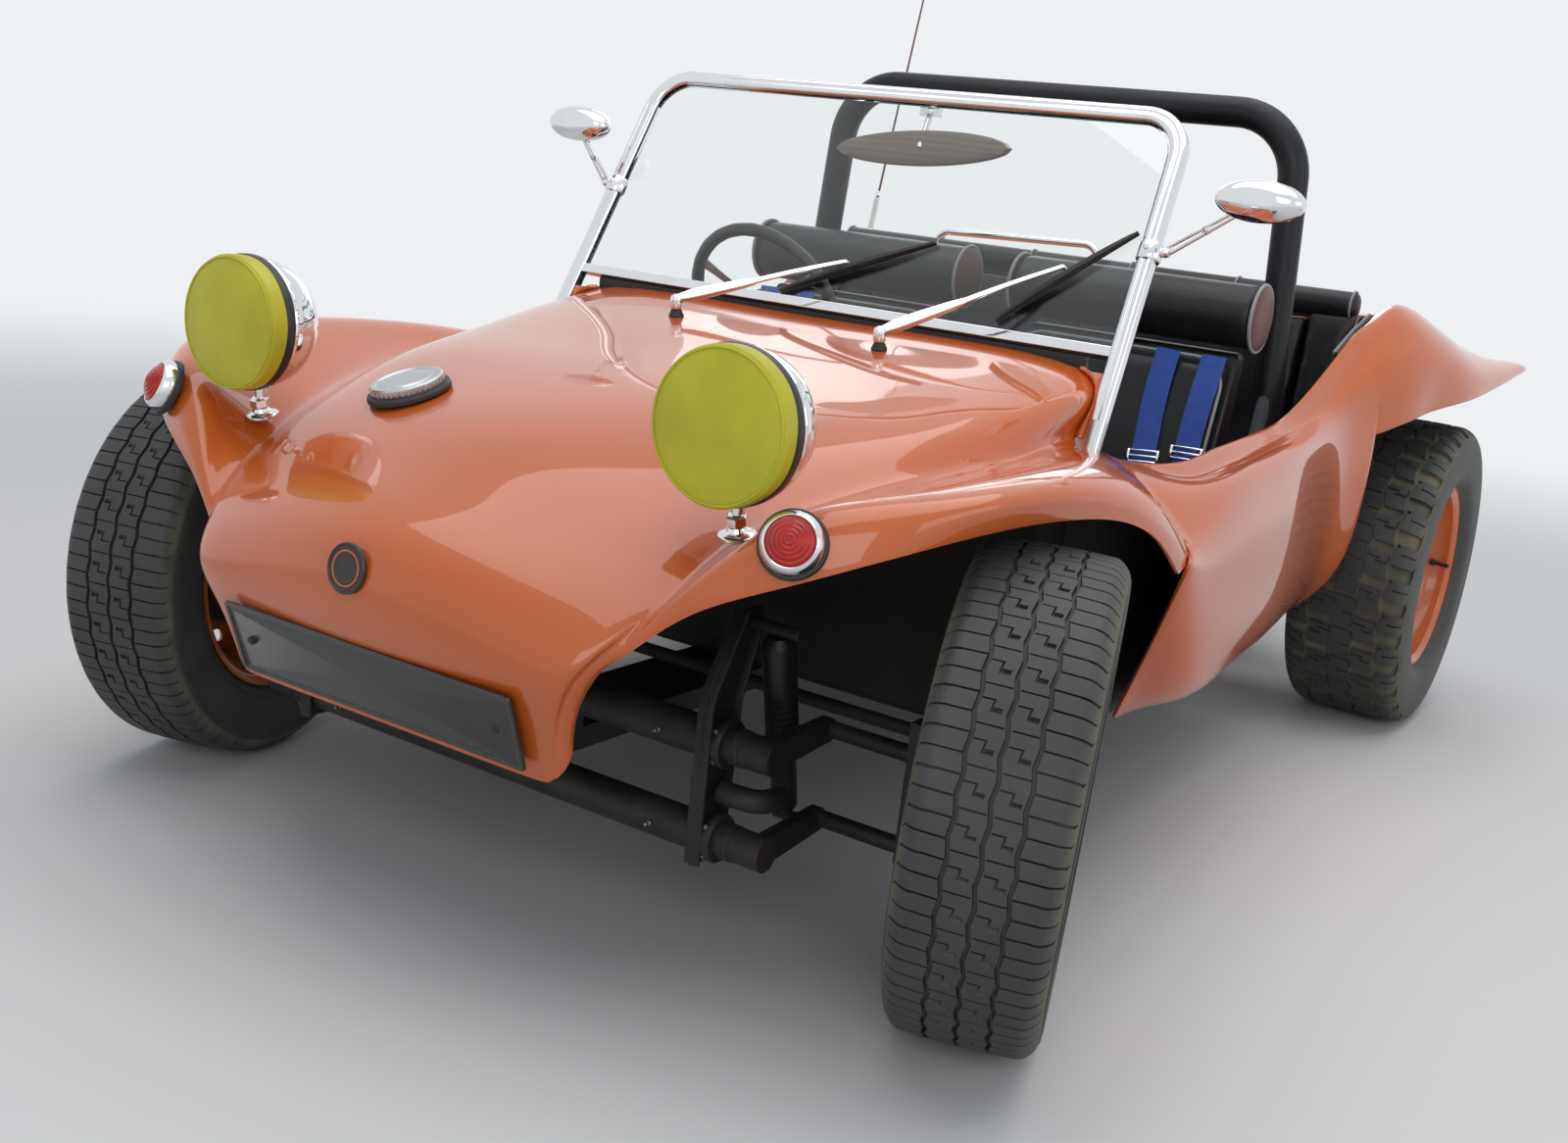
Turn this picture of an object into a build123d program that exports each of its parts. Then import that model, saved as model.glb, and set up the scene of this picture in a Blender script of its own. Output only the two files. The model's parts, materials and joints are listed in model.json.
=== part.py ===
"""An open two-plus-two beach buggy on a shortened rear-engined floor pan.

All sizes are in millimetres. +X is forward, +Y is the car's left, +Z is up,
and z = 0 is the ground. The front wheels stand steered a little to the left.
"""
import math
import os

from build123d import *

# Driving dimensions.
wheelbase = 2054.0
front_axle_x = 1117.0
rear_overhang = 643.0
# Places below are given from the front axle, as they are with the rear axle at rear_station.
# Another wheelbase is taken up between the steering wheel and the roll bar.
rear_station = -2054.0
stretch_front, stretch_rear = -950.0, -1400.0

front_tyre_radius = 326.0
front_tyre_half_width = 100.0
front_rim_radius = 196.0
front_track_half = 725.0
rear_tyre_radius = 346.0
rear_tyre_half_width = 130.0
rear_track_half = 714.0
kingpin_x = 10.0
kingpin_y = 648.0
kingpin_radius = 12.0
running_gap = 0.05
front_camber = 1.6
steer_left_at_rest = 18.8
steer_right_at_rest = 14.6
steering_arm = 130.0

skin_thickness = 6.0
pan_top = 256.0
pan_sheet = 6.0
pan_half_width = 596.0
pan_front = -415.0
pan_rear = -1594.0
tunnel_half_width = 75.0
tunnel_top = 380.0

beam_x = 155.0
beam_low_z = 205.0
beam_high_z = 338.0
beam_radius = 27.0
beam_half_width = 400.0

screen_rake = 27.2
screen_foot = (-526.0, 712.0)
screen_post_foot = 742.0
screen_post_radius = 15.0
screen_top_y = 533.0
screen_slope = 0.048

roll_bar_x = -1452.0
roll_bar_radius = 30.0
roll_bar_top = 1290.0

torsion_x = -1664.0
torsion_z = 330.0
crank_z = 385.0


def along(x):
    """The part's x for a place given from the front axle's line."""
    share = min(max((stretch_front - x) / (stretch_front - stretch_rear), 0), 1)
    return front_axle_x + x - share * (wheelbase + rear_station)


def at(x, y, z):
    """A point given from the front axle's line, as a vector in the part's frame."""
    return Vector(along(x), y, z)


wheel_tilt = 26.0
column_radius = 19.0
column_axis = Vector(math.cos(math.radians(wheel_tilt)), 0, -math.sin(math.radians(wheel_tilt)))
steering_hub = at(-870, -300, 815)


# Surface helpers.
def halfway(a, b, c, d):
    """The point midway from b to c on a smooth curve through a, b, c and d."""
    return (b + c) * 0.5625 - (a + d) * 0.0625


def smooth_line(points):
    """The same line with one smooth point added between each two."""
    before = points[0] * 2 - points[1]
    after = points[-1] * 2 - points[-2]
    padded = [before] + points + [after]
    line = []
    for i in range(1, len(padded) - 2):
        line.append(padded[i])
        line.append(halfway(*padded[i - 1 : i + 3]))
    line.append(points[-1])
    return line


def smooth_rows(rows):
    """A grid of points made twice as fine both ways."""
    across = [smooth_line(row) for row in rows]
    columns = [smooth_line(list(column)) for column in zip(*across)]
    return [list(row) for row in zip(*columns)]


def skin(rows, thickness, left_out=()):
    """A closed solid of the given thickness under a grid of points.

    left_out holds the (row, column) cells that stay open.
    """
    high, wide = len(rows), len(rows[0])
    triangles = []
    for i in range(high - 1):
        for j in range(wide - 1):
            if (i, j) in left_out:
                continue
            a, b, c, d = (i, j), (i + 1, j), (i + 1, j + 1), (i, j + 1)
            side = sum(rows[p][q].Y for p, q in (a, b, c, d))
            if side > 0:
                triangles += [(a, c, b), (a, d, c)]
            else:
                triangles += [(a, d, b), (b, d, c)]
    normals = {}
    for triangle in triangles:
        p, q, r = (rows[i][j] for i, j in triangle)
        normal = (q - p).cross(r - p)
        for corner in triangle:
            normals[corner] = normals.get(corner, Vector(0, 0, 0)) + normal
    inner = {}
    for corner, normal in normals.items():
        inner[corner] = rows[corner[0]][corner[1]] - normal.normalized() * thickness
    faces = []
    edges = {}
    for triangle in triangles:
        outside = [rows[i][j] for i, j in triangle]
        inside = [inner[corner] for corner in reversed(triangle)]
        faces.append(Face(Wire.make_polygon(outside, close=True)))
        faces.append(Face(Wire.make_polygon(inside, close=True)))
        for k in range(3):
            start, end = triangle[k], triangle[(k + 1) % 3]
            if (end, start) in edges:
                del edges[(end, start)]
            else:
                edges[(start, end)] = True
    for start, end in edges:
        p, q = rows[start[0]][start[1]], rows[end[0]][end[1]]
        r, s = inner[end], inner[start]
        faces.append(Face(Wire.make_polygon([q, p, s], close=True)))
        faces.append(Face(Wire.make_polygon([q, s, r], close=True)))
    return Solid(Shell(faces))


def cast(rows, start, direction):
    """How far a straight line runs from start before it meets a grid's surface."""
    nearest = None
    for i in range(len(rows) - 1):
        for j in range(len(rows[0]) - 1):
            a, b, c, d = rows[i][j], rows[i + 1][j], rows[i + 1][j + 1], rows[i][j + 1]
            corners = ((a, b, c), (a, c, d)) if a.Y + c.Y > 0 else ((a, b, d), (b, c, d))
            for p, q, r in corners:
                normal = (q - p).cross(r - p)
                slope = normal.dot(direction)
                if abs(slope) < 1e-9:
                    continue
                reach = normal.dot(p - start) / slope
                point = start + direction * reach
                inside = all(
                    (v - u).cross(point - u).dot(normal) >= -1e-6 * normal.length
                    for u, v in ((p, q), (q, r), (r, p))
                )
                if inside and (nearest is None or reach < nearest):
                    nearest = reach
    return nearest


def height(rows, x, y):
    """The height of a grid's surface over one point."""
    return 2000 - cast(rows, Vector(x, y, 2000), Vector(0, 0, -1))


def seat(rows, start, out, radius, gap=0.1):
    """Where a flat round foot facing out comes to rest on a grid's surface."""
    frame = Plane(origin=start, z_dir=out)
    reaches = [cast(rows, start + out * 300, out * -1)]
    for k in range(12):
        a = math.radians(30 * k)
        corner = start + frame.x_dir * radius * math.cos(a) + frame.y_dir * radius * math.sin(a)
        reaches.append(cast(rows, corner + out * 300, out * -1))
    return start + out * (300 - min(r for r in reaches if r is not None) + gap)


def mirrored(half_rows):
    """Whole rows, right edge to left edge, from rows given centre to left edge."""
    whole = []
    for row in half_rows:
        right = [Vector(p.X, -p.Y, p.Z) for p in reversed(row[1:])]
        whole.append(right + row)
    return whole


def rod(start, end, radius):
    """A round bar between two points, added to the part being built."""
    axis = end - start
    with BuildSketch(Plane(origin=start, z_dir=axis)) as section:
        Circle(radius)
    extrude(section.sketch, amount=axis.length)


def block(low, high):
    """A box between two corners, added to the part being built."""
    middle = (low + high) * 0.5
    with BuildSketch(Plane.XY.offset(low.Z)) as section:
        with Locations((middle.X, middle.Y)):
            Rectangle(abs(high.X - low.X), abs(high.Y - low.Y))
    extrude(section.sketch, amount=high.Z - low.Z)


def bent_tube(points, bend, radius):
    """A round tube along straight runs with rounded corners."""
    with BuildLine() as path:
        FilletPolyline(*points, radius=bend)
    with BuildSketch(Plane(origin=path.line @ 0, z_dir=path.line % 0)) as section:
        Circle(radius)
    sweep(section.sketch, path=path.line)


pieces = {}


def keep(name, builder):
    """Label a finished piece and remember it for export."""
    builder.part.label = name
    pieces[name] = builder.part


# Body: nose, hood, front wings and scuttle.
# Each row crosses the body. Columns from the centre outwards:
# centre (x, z), ridge, valley, crest, shoulder and lip (x, y, z).
front_table = [
    (380, 305, 380, 250, 305, 379, 285, 311, 378, 299, 322, 377, 308, 336, 376, 313, 352),
    (411, 385, 408, 270, 388, 402, 305, 392, 395, 318, 398, 390, 322, 404, 384, 322, 412),
    (463, 474, 437, 305, 466, 412, 333, 462, 400, 342, 462, 392, 347, 466, 382, 350, 470),
    (451, 572, 388, 330, 532, 368, 372, 520, 366, 382, 516, 368, 382, 506, 370, 376, 494),
    (330, 640, 315, 336, 590, 320, 400, 562, 340, 437, 592, 350, 450, 582, 350, 452, 562),
    (200, 703, 180, 348, 668, 225, 430, 624, 268, 520, 688, 303, 555, 676, 315, 566, 617),
    (0, 748, -10, 395, 734, 50, 480, 668, 150, 625, 722, 205, 668, 712, 235, 660, 662),
    (-200, 775, -200, 440, 762, -130, 515, 690, -30, 665, 738, 50, 728, 730, 60, 720, 688),
    (-380, 803, -380, 485, 790, -300, 530, 700, -190, 665, 742, -130, 748, 727, -140, 755, 682),
    (-490, 818, -490, 503, 808, -410, 526, 714, -340, 645, 736, -310, 755, 690, -290, 768, 640),
    (-590, 834, -590, 507, 828, -530, 519, 722, -500, 610, 708, -482, 748, 604, -400, 770, 575),
]
front_half = []
for row in front_table:
    line = [at(row[0], 0, row[1])]
    for k in range(2, 17, 3):
        line.append(at(row[k], row[k + 1], row[k + 2]))
    front_half.append(line)
front_rows = smooth_rows(mirrored(front_half))
firewall_x = -415.0
footwell_y = 538.0
with BuildPart() as front_body:
    add(skin(front_rows, skin_thickness))
    # Firewall between the hood's underside and the floor, then the footwell's sides.
    edge = []
    for k in range(-8, 9):
        y = k * footwell_y / 8
        edge.append((y, height(front_rows, along(firewall_x), y) - 3))
    with BuildSketch(Plane(origin=at(firewall_x, 0, 0), x_dir=(0, 1, 0), z_dir=(1, 0, 0))):
        with BuildLine():
            Polyline(*edge, (footwell_y, pan_top), (-footwell_y, pan_top), close=True)
        make_face()
    extrude(amount=-5)
    for side in (-1, 1):
        edge = []
        for k in range(5):
            x = along(firewall_x - 4) - k * 27
            edge.append((x, height(front_rows, x, side * (footwell_y - 3)) - 4))
        with BuildSketch(Plane.XZ.offset(-side * footwell_y)):
            with BuildLine():
                Polyline(*edge, (edge[-1][0], pan_top), (edge[0][0], pan_top), close=True)
            make_face()
        extrude(amount=side * 5)
    column = steering_hub + column_axis * 440
    with BuildSketch(Plane(origin=column, z_dir=column_axis)):
        Circle(column_radius + 0.4)
    extrude(amount=120, mode=Mode.SUBTRACT)
keep("front_body", front_body)

# Body: cockpit sides between the wheels.
# Each row runs across the side. Columns: foot (inner wall's foot), rim, crest,
# ridge, bottom and sill (x, y, z).
side_table = [
    (-532, 541, 262, -532, 541, 722, -501.8, 611, 707.2, -484.8, 748, 600.6, -430, 768, 560, -600, 640, 275),
    (-640, 600, 262, -640, 626, 670, -655, 665, 667, -690, 746, 645, -640, 764, 368, -690, 640, 268),
    (-840, 606, 262, -840, 634, 680, -850, 672, 677, -880, 738, 660, -880, 754, 372, -880, 636, 266),
    (-1060, 606, 262, -1060, 632, 690, -1070, 668, 688, -1100, 726, 676, -1100, 740, 380, -1100, 632, 266),
    (-1250, 606, 262, -1250, 626, 702, -1260, 660, 703, -1300, 708, 692, -1330, 716, 396, -1330, 626, 268),
    (-1400, 606, 262, -1400, 634, 762, -1430, 665, 752, -1480, 702, 712, -1500, 704, 412, -1500, 618, 272),
    (-1562, 606, 262, -1562, 640, 842, -1578, 684, 832, -1596, 732, 772, -1608, 722, 424, -1580, 616, 280),
]
side_rows = []
for row in side_table:
    side_rows.append([at(row[k], row[k + 1], row[k + 2]) for k in range(0, 18, 3)])
side_rows = smooth_rows(side_rows)
with BuildPart() as side_panels:
    for side in (-1, 1):
        rows = [[Vector(p.X, side * p.Y, p.Z) for p in row] for row in side_rows]
        if side < 0:
            rows = [list(reversed(row)) for row in rows]
        add(skin(rows, 5))
keep("side_panels", side_panels)

# Body: rear tub, deck and rear wings.
# Columns: centre of the deck (x, z), deck edge, inner rim, crest, shoulder, lip (x, y, z).
rear_table = [
    (-1568, 846, -1568, 560, 846, -1568, 641, 846, -1584, 684, 836, -1602, 733, 776, -1606, 738, 690),
    (-1650, 890, -1650, 560, 890, -1650, 649, 890, -1658, 690, 893, -1685, 765, 820, -1695, 776, 718),
    (-1745, 915, -1745, 560, 915, -1745, 655, 925, -1750, 697, 943, -1788, 787, 850, -1796, 795, 738),
    (-1870, 908, -1870, 556, 908, -1870, 645, 930, -1872, 706, 940, -1920, 812, 846, -1944, 838, 760),
    (-2055, 880, -2055, 545, 872, -2055, 620, 872, -2055, 732, 890, -2085, 835, 820, -2100, 851, 777),
    (-2250, 830, -2250, 560, 770, -2250, 612, 822, -2250, 752, 850, -2260, 845, 818, -2272, 858, 795),
    (-2430, 800, -2428, 575, 752, -2426, 622, 796, -2424, 766, 828, -2438, 850, 827, -2450, 861, 812),
]
deck_front, deck_rear = 2, 4
rear_half = []
for row in rear_table:
    line = [at(row[0], 0, row[1])]
    for k in range(2, 17, 3):
        line.append(at(row[k], row[k + 1], row[k + 2]))
    rear_half.append(line)
rear_rows = smooth_rows(mirrored(rear_half))
middle_columns = range(8, 12)
edge_columns = (6, 7, 12, 13)
open_cells = []
for i in range(len(rear_rows) - 1):
    if i < 2 * deck_front:
        open_cells += [(i, j) for j in middle_columns]
        open_cells += [(i, j) for j in edge_columns]
    if i >= 2 * deck_rear:
        open_cells += [(i, j) for j in middle_columns]
riser_x, shelf_z, rear_wall_x = -1600.0, 390.0, -1745.0
panel_x, panel_low = -2052.0, 772.0
tub_table = [
    # foot (x, y, z) and rim (x, y, z) of the tub's inner side
    (-1568, 602, 262, -1568, 638, 845),
    (-1650, 590, 330, -1650, 646, 889),
    (-1743, 566, 386, -1743, 651, 922),
]
with BuildPart() as rear_body:
    add(skin(rear_rows, skin_thickness, open_cells))
    for side in (-1, 1):
        rows = []
        for x1, y1, z1, x2, y2, z2 in tub_table:
            line = [at(x1, side * y1, z1), at(x2, side * y2, z2)]
            rows.append(line if side > 0 else list(reversed(line)))
        add(skin(rows, 5))
    # Rear bulkhead behind the bench, its shelf and the riser down to the floor.
    with BuildSketch(Plane(origin=at(rear_wall_x, 0, 0), x_dir=(0, 1, 0), z_dir=(1, 0, 0))):
        with BuildLine():
            Polyline((-568, 386), (568, 386), (636, 920), (560, 912), (-560, 912), (-636, 920), close=True)
        make_face()
    extrude(amount=-5)
    block(at(rear_wall_x - 5, -568, shelf_z - 6), at(riser_x, 568, shelf_z))
    for side in (-1, 1):
        y_low, y_high = sorted((side * (tunnel_half_width + 0.3), side * 590))
        block(at(riser_x - 5, y_low, pan_top), at(riser_x, y_high, shelf_z))
    for side in (-1, 1):
        block(at(-1835, side * 478 - 20, 597), at(rear_wall_x - 4, side * 478 + 20, 609))
    # Turned-down panel at the deck's rear edge.
    block(at(panel_x - skin_thickness, -300, panel_low), at(panel_x, 300, 876))
keep("rear_body", rear_body)

# Floor pan with its tunnel and frame head.
tunnel_rear = torsion_x + 42.3
with BuildPart() as floor_pan:
    block(at(pan_rear, -pan_half_width, pan_top - pan_sheet), at(pan_front, pan_half_width, pan_top))
    with BuildSketch(Plane(origin=at(tunnel_rear, 0, 0), x_dir=(0, 1, 0), z_dir=(1, 0, 0))):
        with BuildLine():
            Polyline(
                (-tunnel_half_width, 215),
                (-tunnel_half_width, 350),
                (-45, tunnel_top),
                (45, tunnel_top),
                (tunnel_half_width, 350),
                (tunnel_half_width, 215),
                close=True,
            )
        make_face()
        offset(amount=-5, mode=Mode.SUBTRACT)
    extrude(amount=along(firewall_x - 5.5) - along(tunnel_rear))
    block(at(firewall_x - 30, -tunnel_half_width, 215), at(95, tunnel_half_width, pan_top - 6))
    for side in (-1, 1):
        block(at(60, side * 67 - 8, 215), at(beam_x - beam_radius - 0.3, side * 67 + 8, 350))
        # Swaged ribs run along each floor half.
        for y in (200, 330, 460):
            block(at(-1500, side * y - 15, pan_top - 18), at(-480, side * y + 15, pan_top - 6))
keep("floor_pan", floor_pan)

# Front beam: two torsion tubes, towers and shock brackets.
with BuildPart() as front_beam:
    for z in (beam_low_z, beam_high_z):
        rod(at(beam_x, -beam_half_width, z), at(beam_x, beam_half_width, z), beam_radius)
    for side in (-1, 1):
        y = side * 375
        with BuildSketch(Plane.XZ.offset(-(y - 12))):
            with BuildLine():
                Polyline(
                    (along(128), 168),
                    (along(186), 168),
                    (along(190), 400),
                    (along(130), 510),
                    (along(80), 510),
                    (along(120), 390),
                    close=True,
                )
            make_face()
        extrude(amount=-24)
        rod(at(105, side * 380, 492), at(105, side * 455, 492), 9)
keep("front_beam", front_beam)

# Trailing arms, link pins and kingpin carriers.
axle_z = front_tyre_radius
with BuildPart() as front_links:
    for side in (-1, 1):
        for z_beam, z_arm in ((beam_low_z, 215), (beam_high_z, 345)):
            rod(at(beam_x, side * (beam_half_width + 0.3), z_beam), at(beam_x, side * 472, z_beam), 24)
            with BuildSketch(Plane.XZ.offset(-(side * 457 - 9))):
                with BuildLine():
                    Polyline(
                        (along(beam_x), z_beam - 20),
                        (along(beam_x), z_beam + 20),
                        (along(kingpin_x), z_arm + 16),
                        (along(kingpin_x - 18), z_arm),
                        (along(kingpin_x), z_arm - 16),
                        close=True,
                    )
                make_face()
            extrude(amount=-18)
            rod(at(kingpin_x, side * 450, z_arm), at(kingpin_x, side * 600, z_arm), 12)
        y_low, y_high = sorted((side * 404, side * 450))
        rod(at(34, y_low, 214), at(34, y_high, 214), 8)
        block(at(kingpin_x - 16, side * 598 - 8, 195), at(kingpin_x + 16, side * 598 + 8, 394))
        for z in (258, 382):
            block(
                at(kingpin_x - 20, min(side * 600, side * 668), z),
                at(kingpin_x + 20, max(side * 600, side * 668), z + 12),
            )
        rod(at(kingpin_x, side * kingpin_y, 262), at(kingpin_x, side * kingpin_y, 390), kingpin_radius)
keep("front_links", front_links)

# Steering: knuckles, track rod, box, column and wheel.
def wheel_axis(side, steer, camber):
    """The outward direction of a wheel's axle."""
    a, c = math.radians(steer), math.radians(camber)
    return Vector(-side * math.sin(a) * math.cos(c), side * math.cos(a) * math.cos(c), -math.sin(c))


def wheel_height(profile, camber):
    """The axle height that lets a cambered tyre stand on the ground."""
    c = math.radians(camber)
    return max(r * math.cos(c) + abs(a) * math.sin(c) for a, r in profile)


def tyre_profile(radius, half_width, bead, bead_half):
    """Outer line of a tyre's section, as (along the axle, from the axle)."""
    w, r = half_width, radius
    h = r - bead
    return [
        (bead_half, bead),
        (bead_half, bead + 14),
        (w * 0.97, bead + h * 0.25),
        (w, bead + h * 0.47),
        (w * 0.97, bead + h * 0.72),
        (w * 0.9, bead + h * 0.92),
        (w * 0.84, r - 4),
        (w * 0.5, r - 1),
        (0, r),
    ]


bead_gap = 0.3
groove_depth, front_facets = 8.0, 32
block_depth, blocks_round = 11.0, 14
block_pattern = [
    # share of a pitch, sunk on the inner shoulder, sunk on the outer shoulder
    (0, True, False),
    (0.42, True, False),
    (0.5, False, True),
    (0.92, False, True),
]
front_bead_half = 79.0
rear_bead_half = 100.0
front_section = tyre_profile(
    front_tyre_radius, front_tyre_half_width, front_rim_radius + bead_gap, front_bead_half
)
rear_section = tyre_profile(
    rear_tyre_radius, rear_tyre_half_width, front_rim_radius + bead_gap, rear_bead_half
)
front_z = wheel_height(front_section, front_camber)
king_offset = 81.0
knuckle_ends = {}
wheels = {}
for side, steer in ((1, steer_left_at_rest), (-1, steer_right_at_rest)):
    out = wheel_axis(side, steer, front_camber)
    flat = Vector(out.X, out.Y, 0).normalized()
    king = at(kingpin_x, side * kingpin_y, front_z)
    centre = king + flat * king_offset
    wheels[side] = (centre, out)
    back = Vector(-flat.Y * side, flat.X * side, 0)
    arm_end = king + back * steering_arm - flat * 25
    knuckle_ends[side] = arm_end
    with BuildPart() as knuckle:
        rod(king + Vector(0, 0, -50), king + Vector(0, 0, 50), 24)
        rod(centre - out * 72, centre + out * 38, 15)
        rod(centre - out * 42, centre - out * 38, 112)
        with BuildSketch(Plane.XY.offset(front_z - 32)):
            with BuildLine():
                Polyline(
                    ((king + flat * 14).X, (king + flat * 14).Y),
                    ((arm_end + flat * 12).X, (arm_end + flat * 12).Y),
                    ((arm_end - flat * 8).X, (arm_end - flat * 8).Y),
                    ((king - flat * 13).X, (king - flat * 13).Y),
                    close=True,
                )
            make_face()
        extrude(amount=12)
        rod(arm_end + Vector(0, 0, -34), arm_end + Vector(0, 0, -17), 15)
        with BuildSketch(Plane.XY.offset(front_z - 60)):
            with Locations((king.X, king.Y)):
                Circle(kingpin_radius + running_gap)
        extrude(amount=120, mode=Mode.SUBTRACT)
    keep("knuckle_left" if side > 0 else "knuckle_right", knuckle)

rod_z = front_z + 8
rod_x = along(-108)
with BuildPart() as track_rod:
    left_y, right_y = knuckle_ends[1].Y, knuckle_ends[-1].Y
    rod(Vector(rod_x, right_y, rod_z), Vector(rod_x, left_y, rod_z), 10)
    for y in (left_y, right_y):
        rod(Vector(rod_x, y, front_z - 16.7), Vector(rod_x, y, rod_z + 13), 16)
keep("track_rod", track_rod)

hub = steering_hub
gear_x = 84.0
column_length = (at(gear_x, 0, 0) - hub).X / column_axis.X
with BuildPart() as steering_gear:
    rod(hub + column_axis * 34, hub + column_axis * column_length, column_radius)
    block(at(66, -338, 318), at(beam_x - beam_radius - 0.3, -262, 400))
    rod(hub + column_axis * 2, hub + column_axis * 40, 10)
keep("steering_gear", steering_gear)

rim_radius = 160.0
with BuildPart() as steering_wheel:
    with BuildSketch(Plane(origin=hub, x_dir=(0, 1, 0), z_dir=column_axis)):
        Circle(30)
        Circle(10 + running_gap, mode=Mode.SUBTRACT)
    extrude(amount=28)
    with BuildSketch(Plane(origin=hub - column_axis * 6, x_dir=(0, 1, 0), z_dir=column_axis)):
        Circle(30)
    extrude(amount=6)
    across = Vector(0, 1, 0)
    up = column_axis.cross(across)
    for turn in (90, 210, 330):
        a = math.radians(turn)
        spoke = across * math.cos(a) - up * math.sin(a)
        root = hub + spoke * 20 + column_axis * 8
        with BuildSketch(Plane(origin=root, x_dir=column_axis.cross(spoke), z_dir=spoke)):
            Rectangle(16, 5)
        extrude(amount=rim_radius - 22)
    with Locations(Plane(origin=hub, z_dir=column_axis)):
        Torus(rim_radius, 13)
keep("steering_wheel", steering_wheel)

# Wheels.
def section_plane(centre, out):
    """A plane through the axle line: x runs out from the axle, y along it."""
    radial = Vector(0, 0, 1) - out * out.Z
    return Plane(origin=centre, x_dir=radial.normalized(), z_dir=radial.cross(out))


def make_tyre(centre, out, outer, inner, turns, depths):
    """A hollow tyre as a faceted ring.

    outer and inner are lines of (along the axle, from the axle). turns are the angles round the
    axle, and depths holds how far each outer point is sunk at each of them. The flat facets, and
    not their corners, lie at the given radii.
    """
    up = section_plane(centre, out).x_dir
    across = out.cross(up)
    facet = max(after - before for before, after in zip(turns, turns[1:]))
    rows = []
    for turn, sunk in zip(turns, depths):
        spoke = (up * math.cos(turn) + across * math.sin(turn)) / math.cos(facet / 2)
        line = [(a, r - depth) for (a, r), depth in zip(outer, sunk)] + inner
        rows.append([centre + out * a + spoke * r for a, r in line])
    rows.append(rows[0])
    faces = []
    for before, after in zip(rows, rows[1:]):
        edges = list(zip(before + before[:1], after + after[:1]))
        for (a, b), (d, c) in zip(edges, edges[1:]):
            if abs((b - a).cross(d - a).dot(c - a)) < 1e-3:
                faces.append(Face(Wire.make_polygon([a, b, c, d], close=True)))
            else:
                faces.append(Face(Wire.make_polygon([a, b, c], close=True)))
                faces.append(Face(Wire.make_polygon([a, c, d], close=True)))
    with BuildPart() as tyre:
        add(Solid(Shell(faces)))
    return tyre


def both_ways(half):
    """A line across the tyre, from its half: mirrored first, then the half itself, turned round."""
    return [(-a, r) for a, r in half] + list(reversed(half))


def front_tyre(centre, out):
    """A road tyre with one groove round the middle of its tread."""
    half = [front_section[k] for k in (0, 1, 3, 5, 6, 7)]
    half += [(4, front_tyre_radius), (4, front_tyre_radius - groove_depth)]
    inner = [(side * front_tyre_half_width * 0.76, front_tyre_radius - 26) for side in (1, -1)]
    turns = [2 * math.pi * (k + 0.5) / front_facets for k in range(front_facets)]
    return make_tyre(centre, out, both_ways(half), inner, turns, [[0] * 2 * len(half)] * front_facets)


def rear_tyre(centre, out):
    """A tyre with a middle rib and blocks on each shoulder, staggered by half a pitch."""
    half = [rear_section[k] for k in (0, 1, 3, 5, 6)]
    half.append((rear_tyre_half_width * 0.36, rear_tyre_radius - 1))
    half.append((rear_tyre_half_width * 0.3, rear_tyre_radius))
    inner = [(side * rear_tyre_half_width * 0.76, rear_tyre_radius - 30) for side in (1, -1)]
    plain, sunk = [0] * 7, [0, 0, 0, block_depth, block_depth, block_depth, 0]
    pitch = 2 * math.pi / blocks_round
    turns, depths = [], []
    for k in range(blocks_round):
        for share, low, high in block_pattern:
            turns.append((k + share - block_pattern[1][0] / 2) * pitch)
            depths.append((sunk if low else plain) + list(reversed(sunk if high else plain)))
    return make_tyre(centre, out, both_ways(half), inner, turns, depths)


def make_rim(centre, out, radius, half, disc, edge, spin):
    """A steel wheel: barrel, flanges, dished disc with windows, hub and drum."""
    with BuildPart() as rim:
        with BuildSketch(section_plane(centre, out)):
            with BuildLine():
                Polyline(
                    (radius, -half - 0.3),
                    (radius + 12, -half - 0.3),
                    (radius + 12, -half - 7),
                    (radius - 5, -half - 5),
                    (radius - 5, -half + 22),
                    (radius - 20, -half + 40),
                    (radius - 20, half - 60),
                    (radius - 6, half - 42),
                    (radius - 6, half + 5),
                    (radius + 12, half + 7),
                    (radius + 12, half + 0.3),
                    (radius, half + 0.3),
                    (radius, half - 38),
                    (radius - 14, half - 58),
                    (radius - 14, -half + 38),
                    (radius, -half + 20),
                    close=True,
                )
            make_face()
            with BuildLine():
                Polyline(
                    (15 + running_gap, disc - 55),
                    (40, disc - 55),
                    (40, disc - 8),
                    (95, disc - 8),
                    (128, disc + 18),
                    (edge, disc + 4),
                    (edge, disc + 10),
                    (128, disc + 24),
                    (95, disc),
                    (55, disc),
                    (40, disc + 16),
                    (15 + running_gap, disc + 16),
                    close=True,
                )
            make_face()
        revolve(axis=Axis(centre, out))
        radial = section_plane(centre, out).x_dir
        face = Plane(origin=centre + out * (disc - 20), x_dir=radial, z_dir=out)
        with BuildSketch(face):
            with PolarLocations(157, 8, start_angle=spin):
                SlotCenterToCenter(30, 22, rotation=90)
        extrude(amount=60, mode=Mode.SUBTRACT)
        with BuildSketch(Plane(origin=centre + out * (disc + 10), x_dir=radial, z_dir=out)):
            Circle(33)
        extrude(amount=12)
    return rim


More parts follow.
